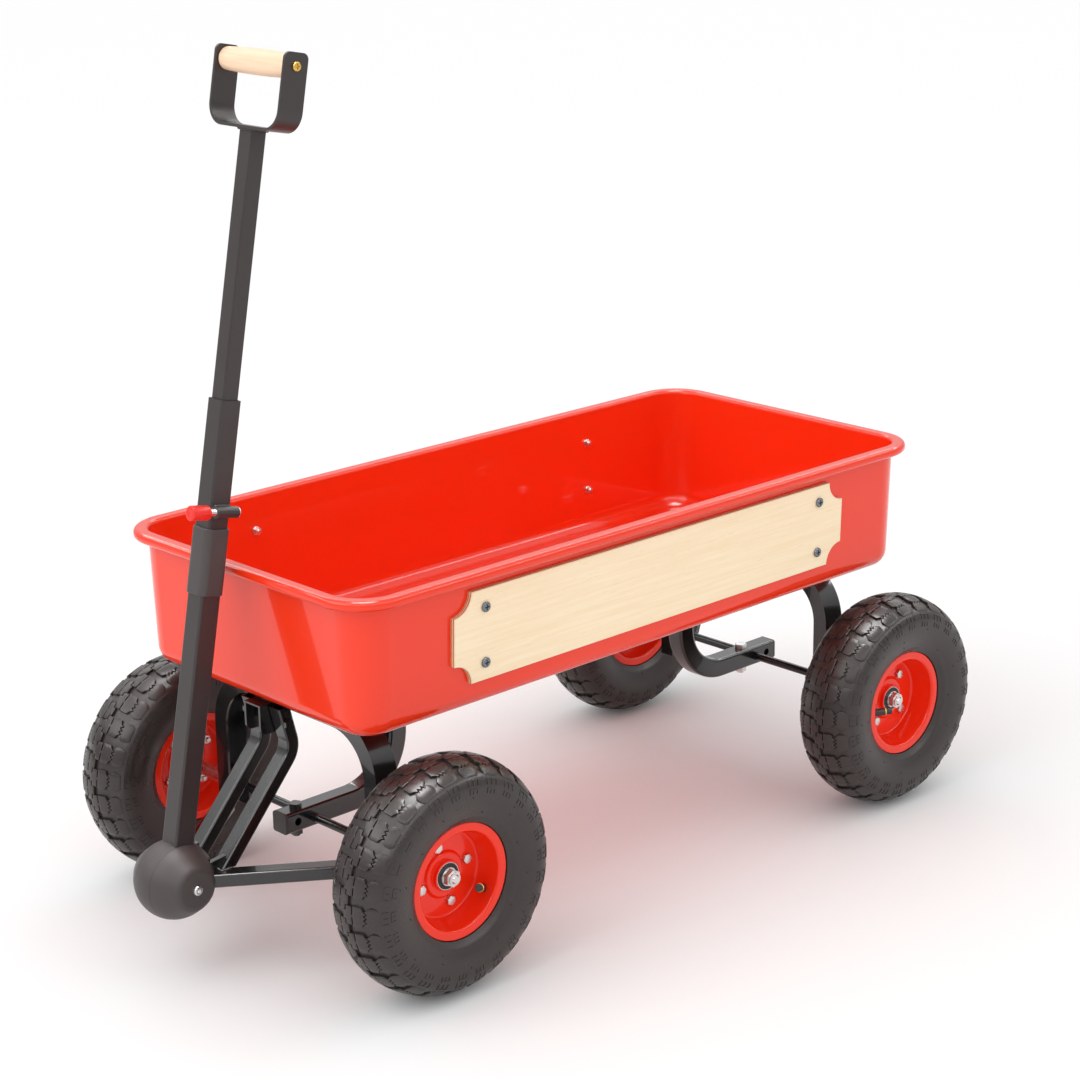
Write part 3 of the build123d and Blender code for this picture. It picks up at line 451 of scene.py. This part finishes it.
def tread_block(name, outline, low, high, eased):
    """Block pulled up from its outline, cut across so that it can bend, with eased edges."""
    block = draw_outline(name, [(along, run, low) for along, run in outline], True)
    bpy.ops.object.mode_set(mode="EDIT")
    bpy.ops.mesh.select_all(action="SELECT")
    bpy.ops.mesh.extrude_region_move(TRANSFORM_OT_translate={"value": (0.0, 0.0, high - low)})
    bpy.ops.mesh.select_all(action="SELECT")
    bpy.ops.mesh.normals_make_consistent(inside=False)
    bpy.ops.object.mode_set(mode="OBJECT")
    ease = block.modifiers.new("eased", "BEVEL")
    ease.width = eased
    ease.segments = 2
    ease.limit_method = "ANGLE"
    ease.angle_limit = radians(50.0)
    bpy.ops.object.modifier_apply(modifier="eased")
    bpy.ops.object.mode_set(mode="EDIT")
    runs = [run for along, run in outline]
    cut_step, along_cuts = 3.2, (-6.0, -2.0, 2.0, 6.0)
    cut = min(runs) + cut_step
    while cut < max(runs):
        bpy.ops.mesh.select_all(action="SELECT")
        bpy.ops.mesh.bisect(plane_co=(0.0, cut, 0.0), plane_no=(0.0, 1.0, 0.0))
        cut += cut_step
    for cut in along_cuts:
        bpy.ops.mesh.select_all(action="SELECT")
        bpy.ops.mesh.bisect(plane_co=(cut, 0.0, 0.0), plane_no=(1.0, 0.0, 0.0))
    bpy.ops.object.mode_set(mode="OBJECT")
    return block


def sipe(run, half, teeth, depth):
    """Zig-zag line across a block at a run from the crown."""
    steps = 2 * teeth
    return [(half - 2 * half * i / steps, run + depth * (1 if i % 2 else -1)) for i in range(steps + 1)]


def side_comb(start, reach, length, rise):
    """Raised mark on the sidewall: a bar with three short ribs."""
    thick, half = 1.5, length / 2
    rib = thick / 2
    root, eased = -1.0, 0.2
    return tread_block(
        "side_comb",
        [(-half, start), (half, start), (half, start + reach), (half - thick, start + reach),
         (half - thick, start + thick), (rib, start + thick), (rib, start + reach), (-rib, start + reach),
         (-rib, start + thick), (thick - half, start + thick), (thick - half, start + reach),
         (-half, start + reach)],
        root, rise, eased)


def model_tread():
    """One pitch of the tread drawn flat, bent onto the tyre and repeated round it."""
    root, eased = 1.0, 0.35
    low = -groove_depth - root
    neck, neck_run, step_run, tab = 5.0, -3.4, 0.7, 1.4
    inner_half, outer_half = 10.2, 11.4
    shoulder_half, end_half = outer_half + 0.6, outer_half - 2.0
    slot_in, slot_out = 8.6, 10.0
    bite = 4.2
    zigzag = sipe(run=24.4, half=outer_half - bite, teeth=3, depth=1.7)
    sipe_gap, edge_run, end_run = 1.6, 35.5, 40.5
    bite_in, bite_out = 20.6, 30.0
    block = tread_block(
        "tread_block",
        [(-neck, neck_run), (neck, neck_run), (neck, step_run), (inner_half, step_run), (inner_half, slot_in),
         (tab, slot_in), (tab, slot_out), (outer_half, slot_out), (outer_half, bite_in), *zigzag,
         (-outer_half, bite_in), (-outer_half, slot_out), (-tab, slot_out), (-tab, slot_in),
         (-inner_half, slot_in), (-inner_half, step_run), (-neck, step_run)],
        low, 0.0, eased)
    shoulder = tread_block(
        "shoulder_block",
        [*[(along, run + sipe_gap) for along, run in reversed(zigzag)], (shoulder_half, bite_out),
         (shoulder_half, edge_run), (end_half, end_run), (-end_half, end_run),
         (-shoulder_half, edge_run), (-shoulder_half, bite_out)],
        low, 0.0, eased)
    upper_comb = side_comb(start=43.0, reach=7.0, length=17.0, rise=0.7)
    lower_comb = side_comb(start=53.0, reach=6.0, length=14.5, rise=0.6)
    tread = join("tread", block, shoulder, upper_comb, lower_comb)
    bpy.ops.object.mode_set(mode="EDIT")
    bpy.ops.mesh.select_all(action="SELECT")
    bpy.ops.mesh.duplicate()
    bpy.ops.transform.mirror(constraint_axis=(False, True, False), center_override=(0.0, 0.0, 0.0))
    bpy.ops.transform.translate(value=(pi * tread_r / pitches, 0.0, 0.0))
    bpy.ops.mesh.flip_normals()
    bpy.ops.object.mode_set(mode="OBJECT")
    for vertex in tread.data.vertices:
        along, run, lift = vertex.co
        across, radius = on_tyre(run, lift)
        turn = along / tread_r
        vertex.co = (radius * sin(turn) * mm, across * mm, radius * cos(turn) * mm)
    bpy.ops.object.mode_set(mode="EDIT")
    bpy.ops.mesh.select_all(action="SELECT")
    bpy.ops.mesh.spin(steps=pitches - 1, dupli=True, angle=2 * pi * (pitches - 1) / pitches,
                      center=(0.0, 0.0, 0.0), axis=(0.0, 1.0, 0.0))
    bpy.ops.object.mode_set(mode="OBJECT")
    return tread


def spun(name, section, steps):
    """Open section of (across, radius) points in millimetres, spun round the Y axis."""
    piece = draw_outline(name, [(0.0, across * mm, radius * mm) for across, radius in section], False)
    bpy.ops.object.mode_set(mode="EDIT")
    bpy.ops.mesh.select_all(action="SELECT")
    bpy.ops.mesh.spin(steps=steps, angle=2 * pi, center=(0.0, 0.0, 0.0), axis=(0.0, 1.0, 0.0))
    bpy.ops.mesh.select_all(action="SELECT")
    bpy.ops.mesh.remove_doubles(threshold=0.01 * mm)
    bpy.ops.mesh.normals_make_consistent(inside=False)
    bpy.ops.object.mode_set(mode="OBJECT")
    return piece


def model_carcass():
    """Smooth skin of the tyre from bead to bead, with a raised line near each bead."""
    stops, lip = 38, 3.0
    half = []
    for stop in range(stops + 1):
        run = side_run * stop / stops
        rise = bead_line_rise if abs(run - bead_line) < side_run / stops else 0.0
        half.append(on_tyre(run, rise - groove_floor(run)))
    edge, edge_r = half[-1]
    half.append((edge - lip, edge_r))
    return spun("carcass", [(-across, radius) for across, radius in reversed(half[1:])] + half, 6 * pitches)


def model_vents():
    """Tiny rubber nibs that the mould's air holes leave on the sidewall."""
    count, rows, first_run, row_gap = 18, 3, 63.0, 9.0
    drift, drift_over = 0.35, 4
    nib_r, nib_root, nib_tip = 0.6 * mm, -0.3 * mm, 1.1 * mm
    nibs = []
    for index in range(count):
        run = first_run + row_gap * (index % rows)
        turn = 2 * pi * (index + drift * (index % drift_over)) / count
        nib = bar("nib", 8, nib_r, nib_root, nib_tip, eased=0.2 * mm)
        across, radius = on_tyre(run, 0.0)
        high, high_r = on_tyre(run, 1.0)
        out = Vector((0.0, high - across, high_r - radius))
        seat = Matrix.Translation((0.0, across * mm, radius * mm)) @ facing(out)
        nib.data.transform(Matrix.Rotation(turn, 4, "Y") @ seat)
        nibs.append(nib)
    return nibs


rolled = {"front_left": -6.0, "front_right": 35.0, "rear_left": -150.0, "rear_right": 75.0}
wheel_places = {}
for corner in corners:
    low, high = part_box(f"tyre_{corner}")
    outward = Matrix.Rotation(0.0 if corner.endswith("left") else pi, 4, "Z")
    turned = Matrix.Rotation(radians(rolled[corner]), 4, "Y")
    wheel_places[corner] = Matrix.Translation((low + high) / 2) @ outward @ turned

tyre = join("tyre", model_carcass(), model_tread(), *model_vents())
smooth(tyre, 32.0)
for corner in corners:
    fitted = copied(tyre, f"moulded_tyre_{corner}", wheel_places[corner])
    put_on(fitted, rubber, "tyre_rubber", f"wheel_{corner}", f"tyre_{corner}")
    dress(rubber, f"inner_tube_{corner}")
bpy.data.objects.remove(tyre)

# Rims, bearings and valves
# Two pressed halves in a deeper red enamel, held by four zinc bolts. Each
# bearing has a black seal, and the valve a ribbed cap on a brass ring.
bolt_count, bolt_circle_r, bolt_phase = 4, 33.0 * mm, 70.0
sheet_t, bolt_r, hex_r = 2.0 * mm, 3.0 * mm, 5.77 * mm
head_top, nut_end, thread_end = 6.0 * mm, -7.0 * mm, -11.0 * mm
bolt_face_r, bolt_face_rise = 4.6 * mm, 0.35 * mm
rim_bolt = join(
    "rim_bolt", bar("head", 6, hex_r, sheet_t, head_top, eased=0.4 * mm),
    bar("face", 32, bolt_face_r, sheet_t, head_top + bolt_face_rise, eased=0.25 * mm),
    bar("nut", 6, hex_r, nut_end, -sheet_t, eased=0.4 * mm),
    bar("thread", 20, bolt_r, thread_end, nut_end + sheet_t, eased=0.5 * mm))
smooth(rim_bolt, hard_edge)


def on_wheel(radius, across, turn):
    """Point at a radius and a distance across, turned round the axle."""
    return Vector((radius * cos(turn), across, radius * sin(turn)))


bolts = []
for index in range(bolt_count):
    turn = radians(bolt_phase) + 2 * pi * index / bolt_count
    outwards = Matrix.Rotation(-pi / 2, 4, "X") @ Matrix.Rotation(turn, 4, "Z")
    seat = Matrix.Translation(on_wheel(bolt_circle_r, 0.0, turn)) @ outwards
    bolts.append(copied(rim_bolt, "rim_bolt", seat))
rim_bolts = join("rim_bolts", *bolts)

seal_rubber = skinned("seal_rubber", from_screen(34, 33, 34), (900.0, 0.1, 30.0, 0.35, 0.5), {})
seal_y, seal_in, seal_out = 9.9, 8.4, 14.6
groove_in, groove_out = 11.2, 12.5
seal_top, groove_y = seal_y + 0.5, seal_y + 0.2
slope, outer_slope = 0.3, 0.4
seal = spun("seal", [
    (seal_y, seal_in), (seal_top, seal_in + slope), (seal_top, groove_in), (groove_y, groove_in + slope),
    (groove_y, groove_out - slope), (seal_top, groove_out), (seal_top, seal_out - outer_slope),
    (seal_y, seal_out)], 48)
seals = join("seals", seal, copied(seal, "seal", Matrix.Rotation(pi, 4, "Z")))
smooth(seals, 40.0)

stem_r, cap_r, cap_length = 4.5 * mm, 4.3 * mm, 7.6 * mm
ring_half, ring_over = 0.8 * mm, 0.15 * mm
valve_turn = radians(205.0)
valve_tip = on_wheel(33.0 * mm, 27.0 * mm, valve_turn)
valve_root = on_wheel(61.0 * mm, 7.0 * mm, valve_turn)
valve_seat = Matrix.Translation(valve_tip) @ facing(valve_tip - valve_root)
valve_cap = bar("valve_cap", 12, cap_r, ring_half, cap_length, eased=0.7 * mm)
valve_ring = bar("valve_ring", 32, stem_r + ring_over, -ring_half, ring_half, eased=0.3 * mm)
smooth(valve_ring, hard_edge)
brass = plated("brass", from_screen(222, 184, 96), 0.22, 0.38)
rim_enamel = skinned("rim_enamel", from_screen(240, 44, 16), enamel_skin, {**enamel_coat, "Coat Weight": 0.4})
for corner in corners:
    place, body = wheel_places[corner], f"wheel_{corner}"
    dress(rim_enamel, f"rim_{corner}")
    dress(zinc, f"bearings_{corner}")
    put_on(copied(rim_bolts, f"hex_bolts_{corner}", place), zinc, "zinc", body, f"rim_bolts_{corner}")
    put_on(copied(seals, f"bearing_seals_{corner}", place), seal_rubber, "black_plastic", body)
    put_on(copied(valve_cap, f"valve_cap_{corner}", place @ valve_seat), seal_rubber, "black_plastic", body)
    put_on(copied(valve_ring, f"valve_ring_{corner}", place @ valve_seat), brass, "brass_screw", body)
for pattern in (rim_bolt, rim_bolts, seals, valve_cap, valve_ring):
    bpy.data.objects.remove(pattern)

# Arches, hooks and axles
# Bent channel and square tube, welded and dipped in gloss black. The welds
# show as beads of overlapping scales under the paint.
gloss_colour, gloss_skin = from_screen(22, 20, 20), (90.0, 0.06, 9.0, 0.14, 0.26)
black_gloss = skinned("black_gloss", gloss_colour, gloss_skin, {"Coat Weight": 0.6, "Coat Roughness": 0.03})
dress(black_gloss, "front_arch", "rear_arch", "front_hook", "rear_hook")
dress(zinc, "front_axle_fittings", "rear_axle_fittings", "floor_bolts")
axle_paint = skinned("axle_paint", gloss_colour, gloss_skin, {})


def bare_ends():
    """Plated steel on an axle's ends, beyond its painted middle."""
    bare_from = 212.0 * mm
    tree = axle_paint.node_tree
    shader = tree.nodes["Principled BSDF"]
    place = tree.nodes.new("ShaderNodeTexCoord")
    split = tree.nodes.new("ShaderNodeSeparateXYZ")
    out = tree.nodes.new("ShaderNodeMath")
    out.operation = "ABSOLUTE"
    bare = tree.nodes.new("ShaderNodeMath")
    bare.operation = "GREATER_THAN"
    bare.inputs[1].default_value = bare_from
    paint = tree.nodes.new("ShaderNodeMix")
    paint.data_type = "RGBA"
    paint.inputs["A"].default_value = shader.inputs["Base Color"].default_value
    paint.inputs["B"].default_value = (*zinc_colour, 1.0)
    link = tree.links.new
    link(place.outputs["Object"], split.inputs["Vector"])
    link(split.outputs["Y"], out.inputs[0])
    link(out.outputs["Value"], bare.inputs[0])
    link(bare.outputs["Value"], paint.inputs["Factor"])
    link(bare.outputs["Value"], shader.inputs["Metallic"])
    link(paint.outputs["Result"], shader.inputs["Base Color"])


def model_axle(name, half):
    """Plain bar with a rolled thread on each end."""
    bar_r, root_r, end_r = 5.0, 4.4, 3.8
    pitch, turns = 1.5, 15
    start = half - pitch * turns
    end = [(start, bar_r)]
    for turn in range(turns - 1):
        end += [(start + pitch * (turn + 0.5), root_r), (start + pitch * (turn + 1), bar_r)]
    end += [(half, end_r), (half, 0.0)]
    axle = spun(name, [(-along, radius) for along, radius in reversed(end)] + end, 32)
    smooth(axle, 30.0)
    return axle


bare_ends()
for end_name, body in (("front", "steering"), ("rear", "wagon")):
    axle_low, axle_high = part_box(f"{end_name}_axle")
    axle = model_axle(f"{end_name}_threaded_axle", axle_high.y / mm)
    axle.data.transform(Matrix.Translation((axle_low + axle_high) / 2))
    put_on(axle, axle_paint, "black_gloss", body, f"{end_name}_axle")


def weld_bead(name, start, end, width):
    """Weld laid from one point to another, one overlapping scale after the next."""
    spacing, squash = 0.45 * width, (0.7, 1.0, 0.8, 1.0)
    line = Vector(end) - Vector(start)
    count = max(round(line.length / spacing), 2)
    bpy.ops.object.select_all(action="DESELECT")
    bpy.ops.mesh.primitive_uv_sphere_add(segments=12, ring_count=8, radius=width / 2)
    bead = bpy.context.object
    bead.name = name
    along = line.to_track_quat("X", "Z").to_matrix().to_4x4()
    bead.data.transform(Matrix.Translation(start) @ along @ Matrix.Diagonal(squash))
    bpy.ops.object.mode_set(mode="EDIT")
    bpy.ops.mesh.select_all(action="SELECT")
    for scale in range(count):
        bpy.ops.mesh.duplicate_move(TRANSFORM_OT_translate={"value": line / count})
    bpy.ops.object.mode_set(mode="OBJECT")
    smooth(bead, 60.0)
    return bead


hook_tube, hook_bead, bead_stop = 24.0 * mm, 5.0 * mm, 2.0 * mm
for end_name, body in (("front", "steering"), ("rear", "wagon")):
    arch_low, arch_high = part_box(f"{end_name}_arch")
    joint_x = arch_low.x if end_name == "front" else arch_high.x
    top, bottom, side = arch_high.z - bead_stop, arch_high.z - hook_tube, hook_tube / 2
    left = ((side, bottom), (side, top))
    right = ((-side, bottom), (-side, top))
    under = ((-side, bottom), (side, bottom))
    beads = [weld_bead("bead", (joint_x, *start), (joint_x, *end), hook_bead)
             for start, end in (left, right, under)]
    put_on(join(f"{end_name}_hook_weld", *beads), black_gloss, "black_gloss", body)

# Turntable, struts and braces
# Plates and bent square tube in the same gloss black, with the nylon ring
# that the front truck turns on.
dress(black_gloss, "top_plate", "rear_plate", "turntable_plate", "strut_left", "strut_right", "brace_left",
      "brace_right", "steering_bolts")
dress(zinc, "kingpin")
nylon = skinned("nylon", from_screen(225, 222, 212), (600.0, 0.1, 20.0, 0.4, 0.5), {})
dress(nylon, "thrust_washer")
# Each strut's foot stands on its brace in a triangle, with a weld along every side.
foot_back, foot_front = 446.5 * mm, 458.4 * mm
foot_out, foot_in, foot_bead = 34.0 * mm, 25.5 * mm, 4.0 * mm
for side, side_name in ((1, "left"), (-1, "right")):
    brace_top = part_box(f"brace_{side_name}")[1].z
    behind = (foot_back, side * foot_out, brace_top)
    outside = (foot_front, side * foot_out, brace_top)
    ahead = (foot_front, side * foot_in, brace_top)
    lines = ((behind, outside), (outside, ahead), (ahead, behind))
    beads = [weld_bead("bead", start, end, foot_bead) for start, end in lines]
    put_on(join(f"strut_weld_{side_name}", *beads), black_gloss, "black_gloss", "steering")

# Ball joint and plugs
# The ball's three slices are moulded black plastic with a fine matt grain,
# as are the plugs in the hooks and the bumper on the handle.
black_plastic = skinned("black_plastic", from_screen(66, 60, 59), (1400.0, 0.12, 14.0, 0.44, 0.58), {})
dress(black_plastic, "ball_core", "ball_dome_left", "ball_dome_right", "handle_bumper", "front_hook_cap",
      "rear_hook_cap")
dress(zinc, "pivot_bolt")

# Handle tubes, strap and latch
# Square tube and bent flat bar, powder-coated satin black. The latch is a
# zinc pin in a welded barrel with a dipped red vinyl cap.
black_satin = skinned("black_satin", from_screen(52, 45, 45), (900.0, 0.1, 12.0, 0.3, 0.42), {})
dress(black_satin, "handle_tube_lower", "handle_tube_upper", "grip_strap", "latch_barrel")
dress(zinc, "latch_pin")
red_vinyl = skinned("red_vinyl", from_screen(230, 34, 22), (500.0, 0.08, 30.0, 0.28, 0.4), {})
ball_low, ball_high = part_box("ball_core")
lean_back = radians(-11.0)
on_ball = Matrix.Translation((ball_low + ball_high) / 2) @ Matrix.Rotation(lean_back, 4, "Y")
# Distances up the handle, ending in _s, start at the middle of the ball.
strap_low_s, upper_half = 791.0 * mm, 10.0 * mm
latch_s, lower_half, barrel_r = 400.0 * mm, 12.5 * mm, 6.25 * mm

# The cap's section runs from its bore over a rounded lip to a slightly sunk end.
cap_start, cap_end, cap_out = 20.5, 44.0, 8.0
pin_r, bore_depth, bore_ease = 4.5, 6.0, 0.4
sunk_r, sunk_depth, sunk_slope = 2.4, 0.3, 0.6
cap_round, round_steps = 2.0, 3
turns = [pi / 2 * step / round_steps for step in range(round_steps + 1)]
rounding = [(cap_round * (1 - cos(turn)), cap_round * (1 - sin(turn))) for turn in turns]
vinyl_cap = spun("vinyl_cap", [
    (cap_start + bore_depth, pin_r), (cap_start + bore_ease, pin_r), (cap_start, pin_r + bore_ease),
    *[(cap_start + along, cap_out - drop) for along, drop in rounding],
    *[(cap_end - along, cap_out - drop) for along, drop in reversed(rounding)],
    (cap_end, sunk_r + sunk_slope), (cap_end - sunk_depth, sunk_r), (cap_end - sunk_depth, 0.0)], 48)
smooth(vinyl_cap, 40.0)
on_latch = on_ball @ Matrix.Translation((0.0, lower_half + barrel_r, latch_s))
vinyl_cap.data.transform(on_latch @ Matrix.Rotation(-pi / 2, 4, "Z"))
put_on(vinyl_cap, red_vinyl, "red_vinyl", "latch", "latch_cap")

handle_bead = 5.0 * mm
on_strap = on_ball @ Matrix.Translation((0.0, 0.0, strap_low_s))
collar = []
for quarter in range(4):
    bead = weld_bead("bead", (-upper_half, -upper_half, 0.0), (upper_half, -upper_half, 0.0), handle_bead)
    bead.data.transform(on_strap @ Matrix.Rotation(quarter * pi / 2, 4, "Z"))
    collar.append(bead)
put_on(join("strap_weld", *collar), black_satin, "black_satin", "handle_upper")
seam_back, seam_front = -lower_half + 3.0 * mm, lower_half - 4.0 * mm
seam_y, seam_gap = lower_half + 0.8 * mm, barrel_r - 0.6 * mm
seams = []
for seam_s in (latch_s + seam_gap, latch_s - seam_gap):
    seam = weld_bead("bead", (seam_back, seam_y, seam_s), (seam_front, seam_y, seam_s), handle_bead)
    seam.data.transform(on_ball)
    seams.append(seam)
put_on(join("latch_weld", *seams), black_satin, "black_satin", "handle_lower")

# Grip
# A turned hardwood bar between the strap's arms, held at each end by a brass
# screw with a cross recess.
beech_grain = (200.0, 12.0, 200.0)
beech = wooden("beech", from_screen(247, 214, 184), from_screen(238, 197, 163), from_screen(216, 163, 124),
               beech_grain, roughness=0.45)[0]
dress(beech, "grip")
grip_low, grip_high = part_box("grip")
middle = (grip_low + grip_high) / 2
strap_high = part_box("grip_strap")[1]
grip_screw_r, grip_screw_h = 5.0 * mm, 2.8 * mm
grip_screw = cross_head("grip_screw", grip_screw_r, grip_screw_h)
smooth(grip_screw, hard_edge)
grip_screws = []
for side in (1, -1):
    seat = Matrix.Translation((middle.x, side * strap_high.y, middle.z)) @ facing(Vector((0.0, side, 0.0)))
    grip_screws.append(copied(grip_screw, "grip_screw", seat))
bpy.data.objects.remove(grip_screw)
put_on(join("grip_screw_heads", *grip_screws), brass, "brass_screw", "handle_upper", "grip_screws")

# Studio
# A white floor that keeps a soft shadow and one large lamp above the front. The
# walls light evenly; in gloss they show a softbox overhead and a strip all round.
floor_size, floor_white = 60.0, 0.96
bpy.ops.object.select_all(action="DESELECT")
bpy.ops.mesh.primitive_plane_add(size=floor_size)
floor = bpy.context.object
floor.name = "studio_floor"
floor_paint = bpy.data.materials.new("studio_floor")
floor_paint.use_nodes = True
floor_shader = floor_paint.node_tree.nodes["Principled BSDF"]
floor_shader.inputs["Base Color"].default_value = (floor_white, floor_white, floor_white, 1.0)
floor_shader.inputs["Roughness"].default_value = 0.9
floor_shader.inputs["Specular IOR Level"].default_value = 0.0
floor.data.materials.append(floor_paint)


def light_studio(world):
    """World that lights evenly, looks white to the camera and shows its lamps in gloss."""
    lit, seen = 1.03, 1.0
    horizon, ceiling, ceiling_from = 0.45, 1.2, 0.6
    softbox, softbox_edge, softbox_from = 18.0, 0.965, 0.975
    strip, strip_height, strip_half = 7.0, 0.58, 0.03
    world.use_nodes = True
    tree = world.node_tree
    sky = tree.nodes["Background"]
    sky.inputs["Color"].default_value = (1.0, 1.0, 1.0, 1.0)
    ray = tree.nodes.new("ShaderNodeLightPath")
    by_camera = tree.nodes.new("ShaderNodeMapRange")
    by_camera.inputs["To Min"].default_value = lit
    by_camera.inputs["To Max"].default_value = seen
    around = tree.nodes.new("ShaderNodeTexCoord")
    heights = tree.nodes.new("ShaderNodeSeparateXYZ")
    walls = tree.nodes.new("ShaderNodeMapRange")
    walls.inputs["From Max"].default_value = ceiling_from
    walls.inputs["To Min"].default_value = horizon
    walls.inputs["To Max"].default_value = ceiling
    overhead = tree.nodes.new("ShaderNodeMapRange")
    overhead.inputs["From Min"].default_value = softbox_edge
    overhead.inputs["From Max"].default_value = softbox_from
    overhead.inputs["To Max"].default_value = softbox
    strips = tree.nodes.new("ShaderNodeMath")
    strips.operation = "COMPARE"
    strips.inputs[1].default_value = strip_height
    strips.inputs[2].default_value = strip_half
    boxes = tree.nodes.new("ShaderNodeMath")
    boxes.operation = "MULTIPLY_ADD"
    boxes.inputs[1].default_value = strip
    together = tree.nodes.new("ShaderNodeMath")
    by_gloss = tree.nodes.new("ShaderNodeMapRange")
    link = tree.links.new
    link(around.outputs["Generated"], heights.inputs["Vector"])
    link(heights.outputs["Z"], walls.inputs["Value"])
    link(heights.outputs["Z"], overhead.inputs["Value"])
    link(heights.outputs["Z"], strips.inputs[0])
    link(strips.outputs["Value"], boxes.inputs[0])
    link(overhead.outputs["Result"], boxes.inputs[2])
    link(walls.outputs["Result"], together.inputs[0])
    link(boxes.outputs["Value"], together.inputs[1])
    link(ray.outputs["Is Camera Ray"], by_camera.inputs["Value"])
    link(ray.outputs["Is Glossy Ray"], by_gloss.inputs["Value"])
    link(by_camera.outputs["Result"], by_gloss.inputs["To Min"])
    link(together.outputs["Value"], by_gloss.inputs["To Max"])
    link(by_gloss.outputs["Result"], sky.inputs["Strength"])


bpy.context.scene.world = bpy.data.worlds.new("studio")
light_studio(bpy.context.scene.world)

lamp_place, lamp_aim = Vector((2.6, -0.4, 2.6)), Vector((0.0, 0.0, 0.3))
bpy.ops.object.light_add(type="AREA", location=lamp_place)
lamp = bpy.context.object
lamp.name = "key_lamp"
lamp.data.size = 2.6
lamp.data.energy = 30.0
lamp.rotation_euler = (lamp_aim - lamp_place).to_track_quat("-Z", "Y").to_euler()

# Camera
# Stands off the front left corner, as the photograph was taken.
bpy.ops.object.camera_add()
camera = bpy.context.object
camera.name = "camera"
camera.data.sensor_width = 36.0
camera.data.lens = 86.1
camera.data.clip_end = 100.0
camera_place = Vector((1.93264, 2.09643, 1.25791))
azimuth, elevation, roll = radians(136.69), radians(17.22), radians(-0.86)
camera.matrix_world = (Matrix.Translation(camera_place) @ Matrix.Rotation(azimuth, 4, "Z")
                       @ Matrix.Rotation(pi / 2 - elevation, 4, "X") @ Matrix.Rotation(roll, 4, "Z"))
bpy.context.scene.camera = camera
bpy.context.scene.view_settings.view_transform = "Standard"
